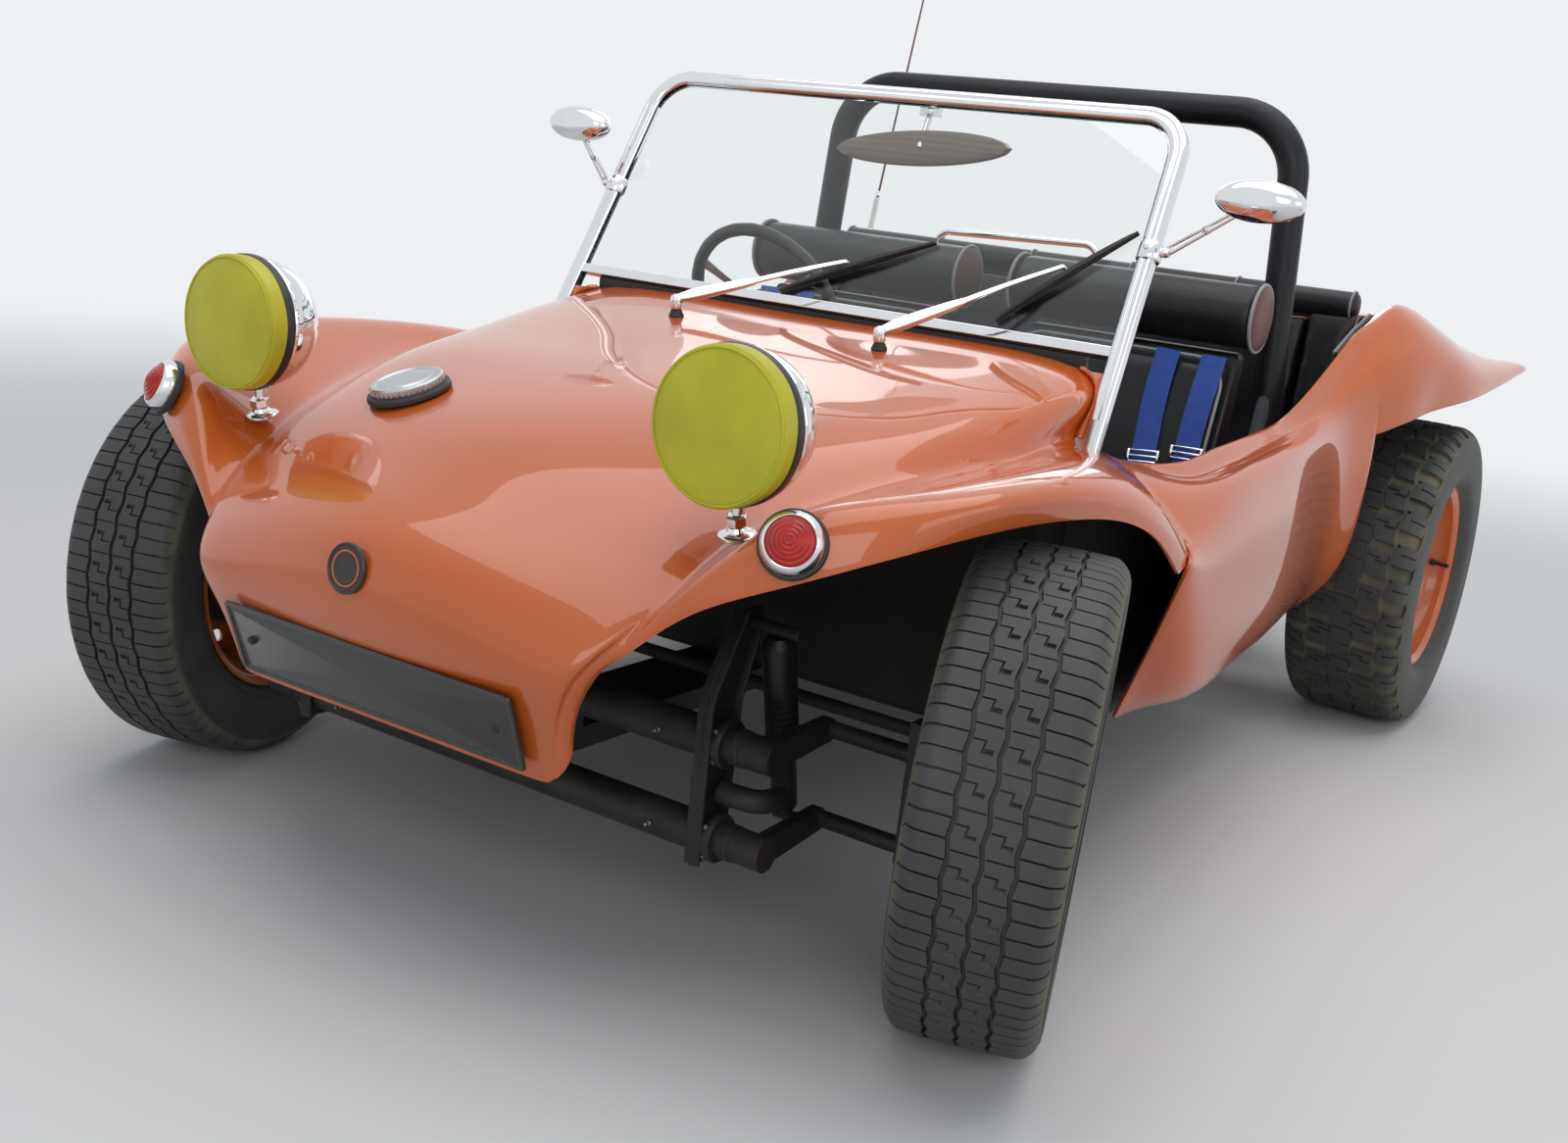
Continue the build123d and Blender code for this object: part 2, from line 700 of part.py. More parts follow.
for side, corner in ((1, "left"), (-1, "right")):
    centre, out = wheels[side]
    keep(f"tyre_front_{corner}", front_tyre(centre, out))
    keep(f"rim_front_{corner}", make_rim(centre, out, front_rim_radius, front_bead_half, 34, 193, 10))
    centre = at(rear_station, side * rear_track_half, rear_tyre_radius)
    out = Vector(0, side, 0)
    wheels[2 * side] = (centre, out)
    keep(f"tyre_rear_{corner}", rear_tyre(centre, out))
    keep(f"rim_rear_{corner}", make_rim(centre, out, front_rim_radius, rear_bead_half, 30, 179, 10))

# Rear running gear.
with BuildPart() as rear_axle:
    rod(at(torsion_x, -470, torsion_z), at(torsion_x, 470, torsion_z), 42)
    for side in (-1, 1):
        # Spring plate from the torsion tube's end back to the axle tube.
        with BuildSketch(Plane.XZ.offset(-(side * 466 - 5))):
            with BuildLine():
                Polyline(
                    (along(torsion_x + 30), torsion_z - 32),
                    (along(torsion_x + 30), torsion_z + 32),
                    (along(rear_station - 52), rear_tyre_radius + 28),
                    (along(rear_station - 52), rear_tyre_radius - 28),
                    close=True,
                )
            make_face()
        extrude(amount=-10)
        y_low, y_high = sorted((side * 96, side * 556))
        rod(at(rear_station, y_low, rear_tyre_radius), at(rear_station, y_high, rear_tyre_radius), 36)
        y_low, y_high = sorted((side * 548, side * 562))
        rod(at(rear_station, y_low, rear_tyre_radius), at(rear_station, y_high, rear_tyre_radius), 105)
        y_low, y_high = sorted((side * 556, side * 748))
        rod(at(rear_station, y_low, rear_tyre_radius), at(rear_station, y_high, rear_tyre_radius), 15)
        block(at(-2040, side * 500 - 20, 360), at(-1990, side * 500 + 20, 384))
        # Frame horn that carries the gearbox and engine.
        horn = [
            at(torsion_x - 20, side * 150, torsion_z - 20),
            at(-1860, side * 190, 300),
            at(-2080, side * 175, 290),
        ]
        rod(horn[0], horn[1], 24)
        rod(horn[1], horn[2], 24)
        with BuildSketch(Plane.XY.offset(horn[1].Z - 24)):
            with Locations((horn[1].X, horn[1].Y)):
                Circle(24)
        extrude(amount=48)
keep("rear_axle", rear_axle)

shock_ends = [
    # foot (x, y, z) and top (x, y, z), tube radius
    (36, 420, 222.1, 102.7, 420, 482.9, 23),
    (-2015, 500, 399.4, -1810, 478, 577.8, 25),
]
with BuildPart() as shock_absorbers:
    for side in (-1, 1):
        for x1, y1, z1, x2, y2, z2, radius in shock_ends:
            foot, top = at(x1, side * y1, z1), at(x2, side * y2, z2)
            middle = foot + (top - foot) * 0.45
            rod(foot, middle + (top - foot) * 0.02, radius - 5)
            rod(middle, top, radius)
keep("shock_absorbers", shock_absorbers)

# Engine: flat four behind the axle, open to view.
with BuildPart() as transaxle:
    block(at(-2135, -95, 262), at(-1880, 95, 430))
    with BuildSketch(Plane(origin=at(-1880, 0, 340), z_dir=(1, 0, 0))):
        Circle(70)
    with BuildSketch(Plane(origin=at(-1706.5, 0, torsion_z), z_dir=(1, 0, 0))):
        Circle(32)
    loft()
    with BuildSketch(Plane(origin=at(-2165, 0, crank_z), z_dir=(1, 0, 0))):
        Circle(160)
    extrude(amount=30)
keep("transaxle", transaxle)

with BuildPart() as engine_case:
    with BuildSketch(Plane(origin=at(-2165.3, 0, 0), x_dir=(0, 1, 0), z_dir=(1, 0, 0))):
        with BuildLine():
            Polyline(
                (-70, 262), (70, 262), (112, 300), (112, 440),
                (60, 505), (-60, 505), (-112, 440), (-112, 300),
                close=True,
            )
        make_face()
    extrude(amount=-345)
    rod(at(-2510, 0, crank_z), at(-2536, 0, crank_z), 40)
    block(at(-2470, -38, 500), at(-2370, 38, 548))
keep("engine_case", engine_case)

with BuildPart() as cylinder_banks:
    for side in (-1, 1):
        for x in (-2262, -2412):
            rod(at(x, side * 112.3, 372), at(x, side * 262, 372), 48)
            for k in range(8):
                y = side * (128 + 16 * k)
                rod(at(x, y - 2, 372), at(x, y + 2, 372), 64)
        y_low, y_high = sorted((side * 255, side * 330))
        block(at(-2490, y_low, 300), at(-2184, y_high, 440))
        y_low, y_high = sorted((side * 330, side * 372))
        block(at(-2478, y_low, 318), at(-2196, y_high, 392))
keep("cylinder_banks", cylinder_banks)

with BuildPart() as fan_shroud:
    with BuildSketch(Plane(origin=at(-2240, 0, 0), x_dir=(0, 1, 0), z_dir=(1, 0, 0))):
        with BuildLine():
            Polyline(
                (-318, 441), (-318, 520), (-250, 640), (-150, 700), (-140, 770), (-80, 812), (80, 812),
                (140, 770), (150, 700), (250, 640), (318, 520), (318, 441), (200, 441), (150, 506.5),
                (-150, 506.5), (-200, 441),
                close=True,
            )
        make_face()
    extrude(amount=-130)
    with BuildSketch(Plane(origin=at(-2240, 0, 665), x_dir=(0, 1, 0), z_dir=(1, 0, 0))):
        Circle(90)
    extrude(amount=-60, mode=Mode.SUBTRACT)
    with BuildSketch(Plane(origin=at(-2301, 0, 665), x_dir=(0, 1, 0), z_dir=(1, 0, 0))):
        Circle(30)
        with PolarLocations(52, 12):
            Rectangle(60, 5)
    extrude(amount=40)
keep("fan_shroud", fan_shroud)

with BuildPart() as generator:
    rod(at(-2370.3, 0, 601), at(-2537, 0, 601), 52)
    block(at(-2470, -30, 548.3), at(-2380, 30, 560))
    for z, radius in ((600, 62), (crank_z, 78)):
        rod(at(-2542, 0, z), at(-2562, 0, z), radius)
        rod(at(-2536.3, 0, z), at(-2568, 0, z), 14)
    with BuildSketch(Plane(origin=at(-2547, 0, 0), x_dir=(0, 1, 0), z_dir=(1, 0, 0))):
        with BuildLine():
            Polyline((-66, 600), (66, 600), (82, crank_z), (-82, crank_z), close=True)
        make_face()
        with BuildLine():
            Polyline((-58, 600), (58, 600), (74, crank_z), (-74, crank_z), close=True)
        make_face(mode=Mode.SUBTRACT)
    extrude(amount=-10)
keep("generator", generator)

with BuildPart() as carburettor:
    # Inlet pipe from the right-hand head, carburettor and drum-shaped air cleaner.
    bent_tube([at(-2460, -290, 440.3), at(-2460, -290, 500), at(-2460, -160, 530)], 30, 15)
    rod(at(-2460, -160, 515), at(-2460, -160, 604), 32)
    rod(at(-2460, -160, 600), at(-2460, -160, 672), 80)
keep("carburettor", carburettor)

exhaust_z = 300.0
with BuildPart() as exhaust:
    rod(at(-2630, -300, exhaust_z), at(-2630, 300, exhaust_z), 54)
    for side in (-1, 1):
        bent_tube(
            [
                at(-2300, side * 300, 299.7),
                at(-2300, side * 300, 240),
                at(-2600, side * 290, 250),
            ],
            30,
            18,
        )
        tip = at(rear_station - rear_overhang, side * 110, exhaust_z - 30)
        rod(at(-2630, side * 110, exhaust_z - 10), tip, 19)
keep("exhaust", exhaust)

# Windscreen: tube frame, glass, rubber strip, wipers.
rake = math.tan(math.radians(screen_rake))


def on_screen(y_scale, z, proud=0.0):
    """A point in the windscreen's plane at height z, y_scale of the way to a post."""
    y = 558 - screen_slope * (z - screen_foot[1])
    x = screen_foot[0] - rake * (z - screen_foot[1])
    normal = Vector(math.cos(math.radians(screen_rake)), 0, math.sin(math.radians(screen_rake)))
    return at(x, y_scale * y, z) + normal * proud


frame_top = 1227.0
rail_z = 853.0
screen_up = (on_screen(0, 1000) - on_screen(0, 900)).normalized()
screen_out = Vector(math.cos(math.radians(screen_rake)), 0, math.sin(math.radians(screen_rake)))
with BuildPart() as windscreen_frame:
    bent_tube(
        [
            on_screen(1, screen_post_foot),
            on_screen(1, frame_top),
            on_screen(-1, frame_top),
            on_screen(-1, screen_post_foot),
        ],
        75,
        screen_post_radius,
    )
    rod(on_screen(-0.99, rail_z), on_screen(0.99, rail_z), 9)
keep("windscreen_frame", windscreen_frame)

glass_gap = screen_post_radius + 0.3
with BuildPart() as windscreen_glass:
    glass_plane = Plane(origin=on_screen(0, rail_z) - screen_out * 2.5, x_dir=(0, 1, 0), z_dir=screen_out)
    with BuildSketch(glass_plane):
        top = (frame_top - rail_z) / math.cos(math.radians(screen_rake)) - glass_gap
        low_y = on_screen(1, rail_z + 10).Y - glass_gap
        top_y = on_screen(1, frame_top).Y - glass_gap
        with BuildLine():
            Polyline(
                (-low_y, 9.3), (low_y, 9.3), (top_y, top - 75),
                (top_y, top), (-top_y, top), (-top_y, top - 75),
                close=True,
            )
        make_face()
    extrude(amount=5)
    fillet(windscreen_glass.edges().filter_by(lambda e: e.length < 5.1).sort_by(Axis.Z)[-2:], radius=62)
keep("windscreen_glass", windscreen_glass)

with BuildPart() as windscreen_seal:
    block(at(-608, -500, 820), at(-596, 500, 843.5))
keep("windscreen_seal", windscreen_seal)

with BuildPart() as dashboard:
    with BuildSketch(Plane.XZ.offset(-500)):
        with BuildLine():
            Polyline(
                (along(-640), 640),
                (along(-628), 640),
                (along(-628), 785),
                (along(-592), 800),
                (along(-592), 819.7),
                (along(-612), 819.7),
                (along(-640), 800),
                close=True,
            )
        make_face()
    extrude(amount=1000)
    with BuildSketch(Plane(origin=steering_hub + column_axis * 200, z_dir=column_axis)):
        Circle(column_radius + 0.4)
    extrude(amount=150, mode=Mode.SUBTRACT)
keep("dashboard", dashboard)

wiper_table = [
    # pivot (x, y, z), arm end (share of post, z), blade ends (share, z) and (share, z)
    (-440, -196, 811, 0.045, 925, -0.165, 866, 0.318, 981),
    (-450, 205, 812, 0.768, 965, 0.6, 872, 0.955, 1037),
]
with BuildPart() as wipers:
    for x, y, z, s1, z1, s2, z2, s3, z3 in wiper_table:
        pivot = at(x, y, z)
        wiper_up = Vector(0.16, 0, 0.99).normalized()
        foot = seat(front_rows, pivot, wiper_up, 13)
        rod(foot, foot + wiper_up * 38, 13)
        arm_end = on_screen(s1, z1, 26)
        rod(pivot + Vector(-5, 0, 32), arm_end, 4)
        rod(arm_end, on_screen(s1, z1, 12), 4)
        rod(on_screen(s2, z2, 12), on_screen(s3, z3, 12), 5)
        low, high = on_screen(s2, z2, 8.3), on_screen(s3, z3, 8.3)
        rod(low, high, 5)
keep("wipers", wipers)

# Roll bar.
with BuildPart() as roll_bar:
    bent_tube(
        [
            at(roll_bar_x, 574, pan_top + 8),
            at(roll_bar_x, 512, roll_bar_top),
            at(roll_bar_x, -512, roll_bar_top),
            at(roll_bar_x, -574, pan_top + 8),
        ],
        130,
        roll_bar_radius,
    )
    for side in (-1, 1):
        y_low, y_high = sorted((side * 530, side * 599))
        block(at(roll_bar_x - 60, y_low, pan_top), at(roll_bar_x + 60, y_high, pan_top + 8))
        # Short brace from the leg forward to the floor beside the seat.
        rod(at(roll_bar_x, side * 545, 790), at(roll_bar_x + 190, side * 560, pan_top + 16), 14)
        foot_end = at(roll_bar_x + 230, side * 560 + 25, pan_top + 8)
        block(at(roll_bar_x + 160, side * 560 - 25, pan_top), foot_end)
keep("roll_bar", roll_bar)

# Seats.
seat_y = 312.0
with BuildPart() as front_seats:
    for side in (-1, 1):
        middle = side * seat_y
        # Runners, cushion and raked back with its rolled top, in side view.
        for rail in (-150, 150):
            block(at(-1180, middle + rail - 14, pan_top), at(-800, middle + rail + 14, 300))
        with BuildSketch(Plane.XZ.offset(-(middle + 225))):
            with BuildLine():
                Polyline(
                    (along(-740), 300),
                    (along(-730), 410),
                    (along(-780), 440),
                    (along(-1090), 420),
                    (along(-1210), 845),
                    (along(-1310), 845),
                    (along(-1240), 300),
                    close=True,
                )
            make_face()
        extrude(amount=450)
        y_low, y_high = middle - 262, middle + 262
        rod(at(-1262, y_low, 905), at(-1262, y_high, 905), 68)
keep("front_seats", front_seats)

with BuildPart() as rear_seat:
    with BuildSketch(Plane.XZ.offset(-545)):
        with BuildLine():
            Polyline(
                (along(riser_x), shelf_z),
                (along(-1560), shelf_z + 40),
                (along(-1520), shelf_z + 90),
                (along(-1560), shelf_z + 130),
                (along(-1620), shelf_z + 120),
                (along(-1668), 915),
                (along(-1742), 915),
                (along(-1742), shelf_z),
                close=True,
            )
        make_face()
    extrude(amount=1090)
    rod(at(-1708, -628, 935), at(-1708, 628, 935), 34)
keep("rear_seat", rear_seat)

belt_width = 48.0
with BuildPart() as harness_belts:
    for side in (-1, 1):
        for y in (110, 196):
            with BuildSketch(Plane.XZ.offset(-(side * (seat_y + y) + belt_width / 2))):
                with BuildLine():
                    Polyline(
                        (along(-1088), 421),
                        (along(-1203.8), 834),
                        (along(-1200.8), 835),
                        (along(-1085), 422),
                        close=True,
                    )
                make_face()
            extrude(amount=belt_width)
keep("harness_belts", harness_belts)

# Lamps, plates, cap, badge, mirrors.
lamp_y, lamp_x, lamp_z = 431.0, 262.0, 775.0
lamp_radius = 98.0
with BuildPart() as headlamps:
    for side in (-1, 1):
        centre = at(lamp_x, side * lamp_y, lamp_z)
        with BuildSketch(Plane.XY.offset(lamp_z)):
            with BuildLine():
                Polyline(
                    (centre.X + 8, centre.Y),
                    (centre.X + 8, centre.Y + lamp_radius - 3),
                    (centre.X - 12, centre.Y + lamp_radius - 5),
                    (centre.X - 48, centre.Y + 78),
                    (centre.X - 78, centre.Y + 44),
                    (centre.X - 88, centre.Y),
                    close=True,
                )
            make_face()
        revolve(axis=Axis(centre, (1, 0, 0)))
        foot = seat(front_rows, centre + Vector(-14, 0, -120), Vector(0.25, 0, 0.97).normalized(), 24)
        rod(centre + Vector(-14, 0, -90), foot + Vector(0, 0, 4), 9)
        rod(foot, foot + Vector(0.25, 0, 0.97).normalized() * 8, 24)
keep("headlamps", headlamps)

with BuildPart() as lamp_covers:
    for side in (-1, 1):
        centre = at(lamp_x, side * lamp_y, lamp_z)
        with BuildSketch(Plane.XY.offset(lamp_z)):
            with BuildLine():
                Polyline(
                    (centre.X + 8.3, centre.Y),
                    (centre.X + 8.3, centre.Y + lamp_radius),
                    (centre.X + 40, centre.Y + lamp_radius),
                    (centre.X + 50, centre.Y + lamp_radius - 10),
                    (centre.X + 56, centre.Y + 40),
                    (centre.X + 58, centre.Y),
                    close=True,
                )
            make_face()
        revolve(axis=Axis(centre, (1, 0, 0)))
keep("lamp_covers", lamp_covers)

with BuildPart() as side_lamps:
    for side in (-1, 1):
        out = Vector(0.86, side * 0.35, 0.37).normalized()
        foot = seat(front_rows, at(298, side * 548, 655), out, 42, 2.5)
        rod(foot, foot + out * 24, 42)
        rod(foot + out * 20, foot + out * 38, 33)
keep("side_lamps", side_lamps)

with BuildPart() as tail_lamps:
    for side in (-1, 1):
        rod(at(-2400, side * 720, 758), at(-2445, side * 720, 758), 42)
        under = cast(rear_rows, at(-2412, side * 720, 600), Vector(0, 0, 1)) + 600 - skin_thickness
        rod(at(-2412, side * 720, 770), at(-2412, side * 720, under - 4), 12)
keep("tail_lamps", tail_lamps)

plate_tilt = math.radians(21)
plate_out = Vector(math.cos(plate_tilt), 0, -math.sin(plate_tilt))
with BuildPart() as number_plates:
    reach = []
    for y in (-255, -120, 0, 120, 255):
        for v in (-50, 0, 50):
            corner = at(410, y, 375) + Vector(math.sin(plate_tilt), 0, math.cos(plate_tilt)) * v
            distance = cast(front_rows, corner + plate_out * 200, plate_out * -1)
            reach.append(200 if distance is None else distance)
    plate_foot = at(410, 0, 375) + plate_out * (200 - min(reach) + 1.2)
    plate_plane = Plane(origin=plate_foot, x_dir=(0, 1, 0), z_dir=plate_out)
    with BuildSketch(plate_plane):
        RectangleRounded(520, 111, 4)
    extrude(amount=5)
    rear_plate_x = panel_x - skin_thickness - 0.3
    block(at(rear_plate_x - 5.7, -260, panel_low + 3), at(rear_plate_x, 260, panel_low + 98))
keep("number_plates", number_plates)

with BuildPart() as filler_cap:
    cap_out = Vector(0.31, -0.13, 0.94).normalized()
    foot = seat(front_rows, at(150, -225, 699), cap_out, 62)
    rod(foot, foot + cap_out * 8, 62)
    rod(foot + cap_out * 8, foot + cap_out * 24, 54)
keep("filler_cap", filler_cap)

with BuildPart() as nose_badge:
    badge_out = Vector(0.99, 0, 0.14).normalized()
    foot = seat(front_rows, at(450, 0, 528), badge_out, 33, 1.2)
    rod(foot, foot + badge_out * 5, 33)
keep("nose_badge", nose_badge)

rail_feet = [seat(rear_rows, at(-1850, y, 909), Vector(0, 0, 1), 9) for y in (-455, -25)]
with BuildPart() as rear_rail:
    bent_tube(
        [rail_feet[0], at(-1850, -455, 978), at(-1850, -25, 990), rail_feet[1]],
        35,
        9,
    )
keep("rear_rail", rear_rail)

mirror_table = [
    # side, clamp height, head centre (x, y, z)
    (1, 1012, -640, 715, 1108),
    (-1, 1012, -640, -622, 1120),
]
with BuildPart() as side_mirrors:
    for side, clamp_z, x, y, z in mirror_table:
        clamp = on_screen(side, clamp_z)
        y_low, y_high = sorted((clamp.Y + side * 16.2, clamp.Y + side * 36))
        block(Vector(clamp.X - 18, y_low, clamp_z - 16), Vector(clamp.X + 18, y_high, clamp_z + 16))
        head = at(x, y, z)
        rod(clamp + Vector(0, side * 26, 4), head, 7)
        with BuildSketch(Plane(origin=head, x_dir=(0, 1, 0), z_dir=(1, 0, 0))):
            Ellipse(68, 32)
        extrude(amount=22, both=True)
keep("side_mirrors", side_mirrors)

with BuildPart() as interior_mirror:
    head = at(-792, 50, 1140)
    with BuildSketch(Plane(origin=head, x_dir=(0, 1, 0.08), z_dir=(1, 0, 0))):
        Ellipse(172, 31)
    extrude(amount=12, both=True)
    top = on_screen(0.09, frame_top)
    block(top + Vector(-30, -22, -32), top + Vector(-15.3, 22, 4))
    rod(head, top + Vector(-22, 0, -20), 6)
keep("interior_mirror", interior_mirror)

with BuildPart() as whip_antenna:
    base = seat(rear_rows, at(-1850, -650, 930), Vector(0, 0, 1), 16)
    rod(base, base + Vector(0, 0, 22), 16)
    rod(base + Vector(0, 0, 20), base + Vector(0, 10, 100), 10)
    rod(base + Vector(0, 9, 95), base + Vector(0, 110, 900), 3)
keep("whip_antenna", whip_antenna)

os.makedirs("parts", exist_ok=True)
for name, piece in pieces.items():
    export_step(piece, f"parts/{name}.step")
    box = piece.bounding_box()
    low, high = (tuple(round(v) for v in corner) for corner in (box.min, box.max))
    print(name, len(piece.solids()), piece.is_valid, round(piece.volume / 1e6, 3), low, high)
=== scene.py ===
# %% [markdown]
# # Dressing an open dune buggy
#
# The CAD model already holds every part of this buggy at its real size and place. Here it gets
# its looks. Parts whose beauty lies in fine form, such as the body shell, the tyres and the
# padded seats, are modelled again as smooth surfaces in the same place. The other parts keep
# their CAD shape and get a material. The model comes in as a fixed frame, so its wheel centres
# and boxes can be read instead of measured again.

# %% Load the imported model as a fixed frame
import json
import math

import bmesh
import bpy
import numpy as np
from mathutils import Matrix, Vector
from mathutils.bvhtree import BVHTree


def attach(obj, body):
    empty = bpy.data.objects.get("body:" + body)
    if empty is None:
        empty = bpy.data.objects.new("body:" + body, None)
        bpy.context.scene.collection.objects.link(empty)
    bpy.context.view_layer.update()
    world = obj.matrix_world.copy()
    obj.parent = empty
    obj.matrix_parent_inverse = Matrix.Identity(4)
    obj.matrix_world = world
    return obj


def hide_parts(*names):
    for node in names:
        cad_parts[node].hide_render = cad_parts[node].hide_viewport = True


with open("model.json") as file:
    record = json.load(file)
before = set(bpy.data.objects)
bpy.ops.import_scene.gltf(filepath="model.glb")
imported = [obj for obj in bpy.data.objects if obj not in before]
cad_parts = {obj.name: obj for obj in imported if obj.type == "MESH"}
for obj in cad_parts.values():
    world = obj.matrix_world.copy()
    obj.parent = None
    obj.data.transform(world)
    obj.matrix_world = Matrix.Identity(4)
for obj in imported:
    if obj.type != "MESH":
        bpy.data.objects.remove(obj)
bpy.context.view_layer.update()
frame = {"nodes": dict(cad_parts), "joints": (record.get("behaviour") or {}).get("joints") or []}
joints = {joint["name"]: joint for joint in frame["joints"]}
nodes = frame["nodes"]
scene = bpy.context.scene
mm = 0.001
forward, left, upward = np.eye(3)
down = -upward

# %% [markdown]
# ## The camera
#
# The photograph was taken standing close to the left front wheel, a little above bonnet height,
# with the camera tilted to one side. Its place and angles were worked out from things of known
# size: the number plate, the wheels and the width of the windscreen. A real lens would be set by
# its focal length, so the focal length in pixels is turned into millimetres of a 36 mm sensor.

# %% Place the camera
photo_width, focal_pixels, sensor_width = 1600, 1676.7, 36.0
camera_place = (2.9846, 1.5079, 1.0633)
camera_yaw, camera_pitch, camera_roll = 3.6955, -0.2337, 0.1145


def unit(vector):
    """The same direction, one metre long."""
    vector = np.asarray(vector, float)
    return vector / np.linalg.norm(vector)


def linked(name, data):
    """A new object in the scene that shows this data."""
    thing = bpy.data.objects.new(name, data)
    scene.collection.objects.link(thing)
    return thing


def posed(thing, axes, place):
    """Put an object in a place, its own x, y and z along three directions."""
    matrix = np.eye(4)
    matrix[:3, :3], matrix[:3, 3] = np.array(axes).T, place
    thing.matrix_world = Matrix(matrix.tolist())


def camera_axes(yaw, pitch, roll):
    """The camera's right, up and backward directions.

    It looks along (cos pitch cos yaw, cos pitch sin yaw, sin pitch). Right is that direction
    crossed with straight up, and the roll turns right and up about it.
    """
    ahead = np.array([math.cos(pitch) * math.cos(yaw), math.cos(pitch) * math.sin(yaw), math.sin(pitch)])
    right = unit(np.cross(ahead, upward))
    over = np.cross(right, ahead)
    return (math.cos(roll) * right + math.sin(roll) * over,
            math.cos(roll) * over - math.sin(roll) * right, -ahead)


camera_data = bpy.data.cameras.new("camera")
camera_data.sensor_width = sensor_width
camera_data.lens = focal_pixels * sensor_width / photo_width
camera_data.clip_end = 100.0
camera = linked("camera", camera_data)
posed(camera, camera_axes(camera_yaw, camera_pitch, camera_roll), camera_place)
scene.camera = camera
scene.view_settings.view_transform = "Standard"
print("lens", round(camera_data.lens, 2), "mm")

# %% [markdown]
# ## Floor and light
#
# The photograph has an overcast sky: one huge soft light from above, and no hard shadow. Large
# area lamps do the same in a studio. Glossy paint and chrome show what is around them, so the
# world answers camera, mirror and glass rays with a pale grey, and gives the diffuse light a
# lower value, which keeps the paint from washing out. Far from the car the floor fades into the
# same pale grey, so that no horizon line crosses the picture.

# %% Short ways to build shader nodes
def feed(tree, node, values):
    """Feed a node's inputs from sockets or plain values."""
    for key, source in values.items():
        if isinstance(source, bpy.types.NodeSocket):
            tree.links.new(source, node.inputs[key])
        else:
            node.inputs[key].default_value = source


def wire(tree, kind, values=None, **settings):
    """Add a node, set its properties, feed its inputs, and give back its outputs."""
    node = tree.nodes.new("ShaderNode" + kind)
    for key, value in settings.items():
        setattr(node, key, value)
    feed(tree, node, values or {})
    return node.outputs


def maths(tree, operation, *values):
    """The result of a Math node."""
    return wire(tree, "Math", dict(enumerate(values)), operation=operation)[0]


def new_material(name, values):
    """A material with some values of its Principled BSDF set: itself, its tree and its shader."""
    material = bpy.data.materials.new(name)
    material.use_nodes = True
    tree = material.node_tree
    shader = next(node for node in tree.nodes if node.type == "BSDF_PRINCIPLED")
    feed(tree, shader, values)
    return material, tree, shader


# %% Build the floor, the world and the lamps
floor_half = 60.0
sky_pale, sky_strength = (0.90, 0.92, 0.94, 1), 0.95
floor_data = bpy.data.meshes.new("studio_floor")
floor_corners = np.array([(-1, -1, 0), (1, -1, 0), (1, 1, 0), (-1, 1, 0)]) * floor_half
floor_data.from_pydata(floor_corners.tolist(), [], [(0, 1, 2, 3)])
floor = linked("studio_floor", floor_data)
floor_material, tree, shader = new_material("studio_floor", {
    "Emission Color": sky_pale, "Roughness": 1.0, "Specular IOR Level": 0.0,
})
reach = wire(tree, "VectorMath", {0: wire(tree, "TexCoord")["Object"]}, operation="LENGTH")["Value"]
for label, near, far in (("Base Color", 0.80, 0.0), ("Emission Strength", 0.0, sky_strength)):
    fade = wire(tree, "MapRange", {
        "Value": reach, "From Min": 1.9, "From Max": 7.5, "To Min": near, "To Max": far,
    }, interpolation_type="SMOOTHERSTEP")
    feed(tree, shader, {label: fade["Result"]})
floor_data.materials.append(floor_material)

world = bpy.data.worlds.new("studio")
scene.world = world
world.use_nodes = True
tree = world.node_tree
feed(tree, tree.nodes["Background"], {"Color": (0.86, 0.92, 1.0, 1), "Strength": 0.34})
seen = wire(tree, "Background", {"Color": sky_pale, "Strength": sky_strength})
rays = wire(tree, "LightPath")
seen_rays = maths(tree, "MAXIMUM", rays["Is Camera Ray"], rays["Is Glossy Ray"])
seen_rays = maths(tree, "MAXIMUM", seen_rays, rays["Is Transmission Ray"])
mixed = wire(tree, "MixShader", {0: seen_rays, 1: tree.nodes["Background"].outputs[0], 2: seen[0]})
feed(tree, tree.nodes["World Output"], {"Surface": mixed[0]})

lamp_table = [
    # name, place (x, y, z), aimed at (x, y, z), width, height, watts
    ("sky", (0.4, 0.3, 5.0), (0.2, 0.0, 0.0), 6.0, 5.0, 150.0),
    ("front_window", (5.2, 2.6, 2.6), (0.3, 0.0, 0.5), 3.2, 2.2, 42.0),
    ("side_window", (0.5, 6.0, 2.4), (0.0, 0.0, 0.5), 4.0, 2.0, 30.0),
    ("rear_window", (-5.0, -2.5, 2.8), (-0.4, 0.0, 0.5), 3.5, 2.2, 34.0),
]
for name, place, target, width, height, watts in lamp_table:
    lamp_data = bpy.data.lights.new(name, "AREA")
    lamp_data.shape = "RECTANGLE"
    lamp_data.size, lamp_data.size_y = width, height
    lamp_data.energy = watts
    backward = unit(np.array(place) - np.array(target))
    right = unit(np.cross(upward, backward))
    posed(linked(name, lamp_data), [right, np.cross(backward, right), backward], place)
print("lamps", len(lamp_table))

# %% [markdown]
# ## Surfaces from whole arrays
#
# Nearly every part of a car is one of four kinds of surface: a grid of points, a profile turned
# about an axle, a section carried along a bent path, or a flat outline given a thickness. Each
# helper below works out one kind as a numpy array, and leaves it as a pair: points and faces.
# Pairs are put together before they become a mesh, so a lamp or a wheel stays one piece. Points
# and paths are in metres, and the sizes of profiles, sections and bars are in millimetres.

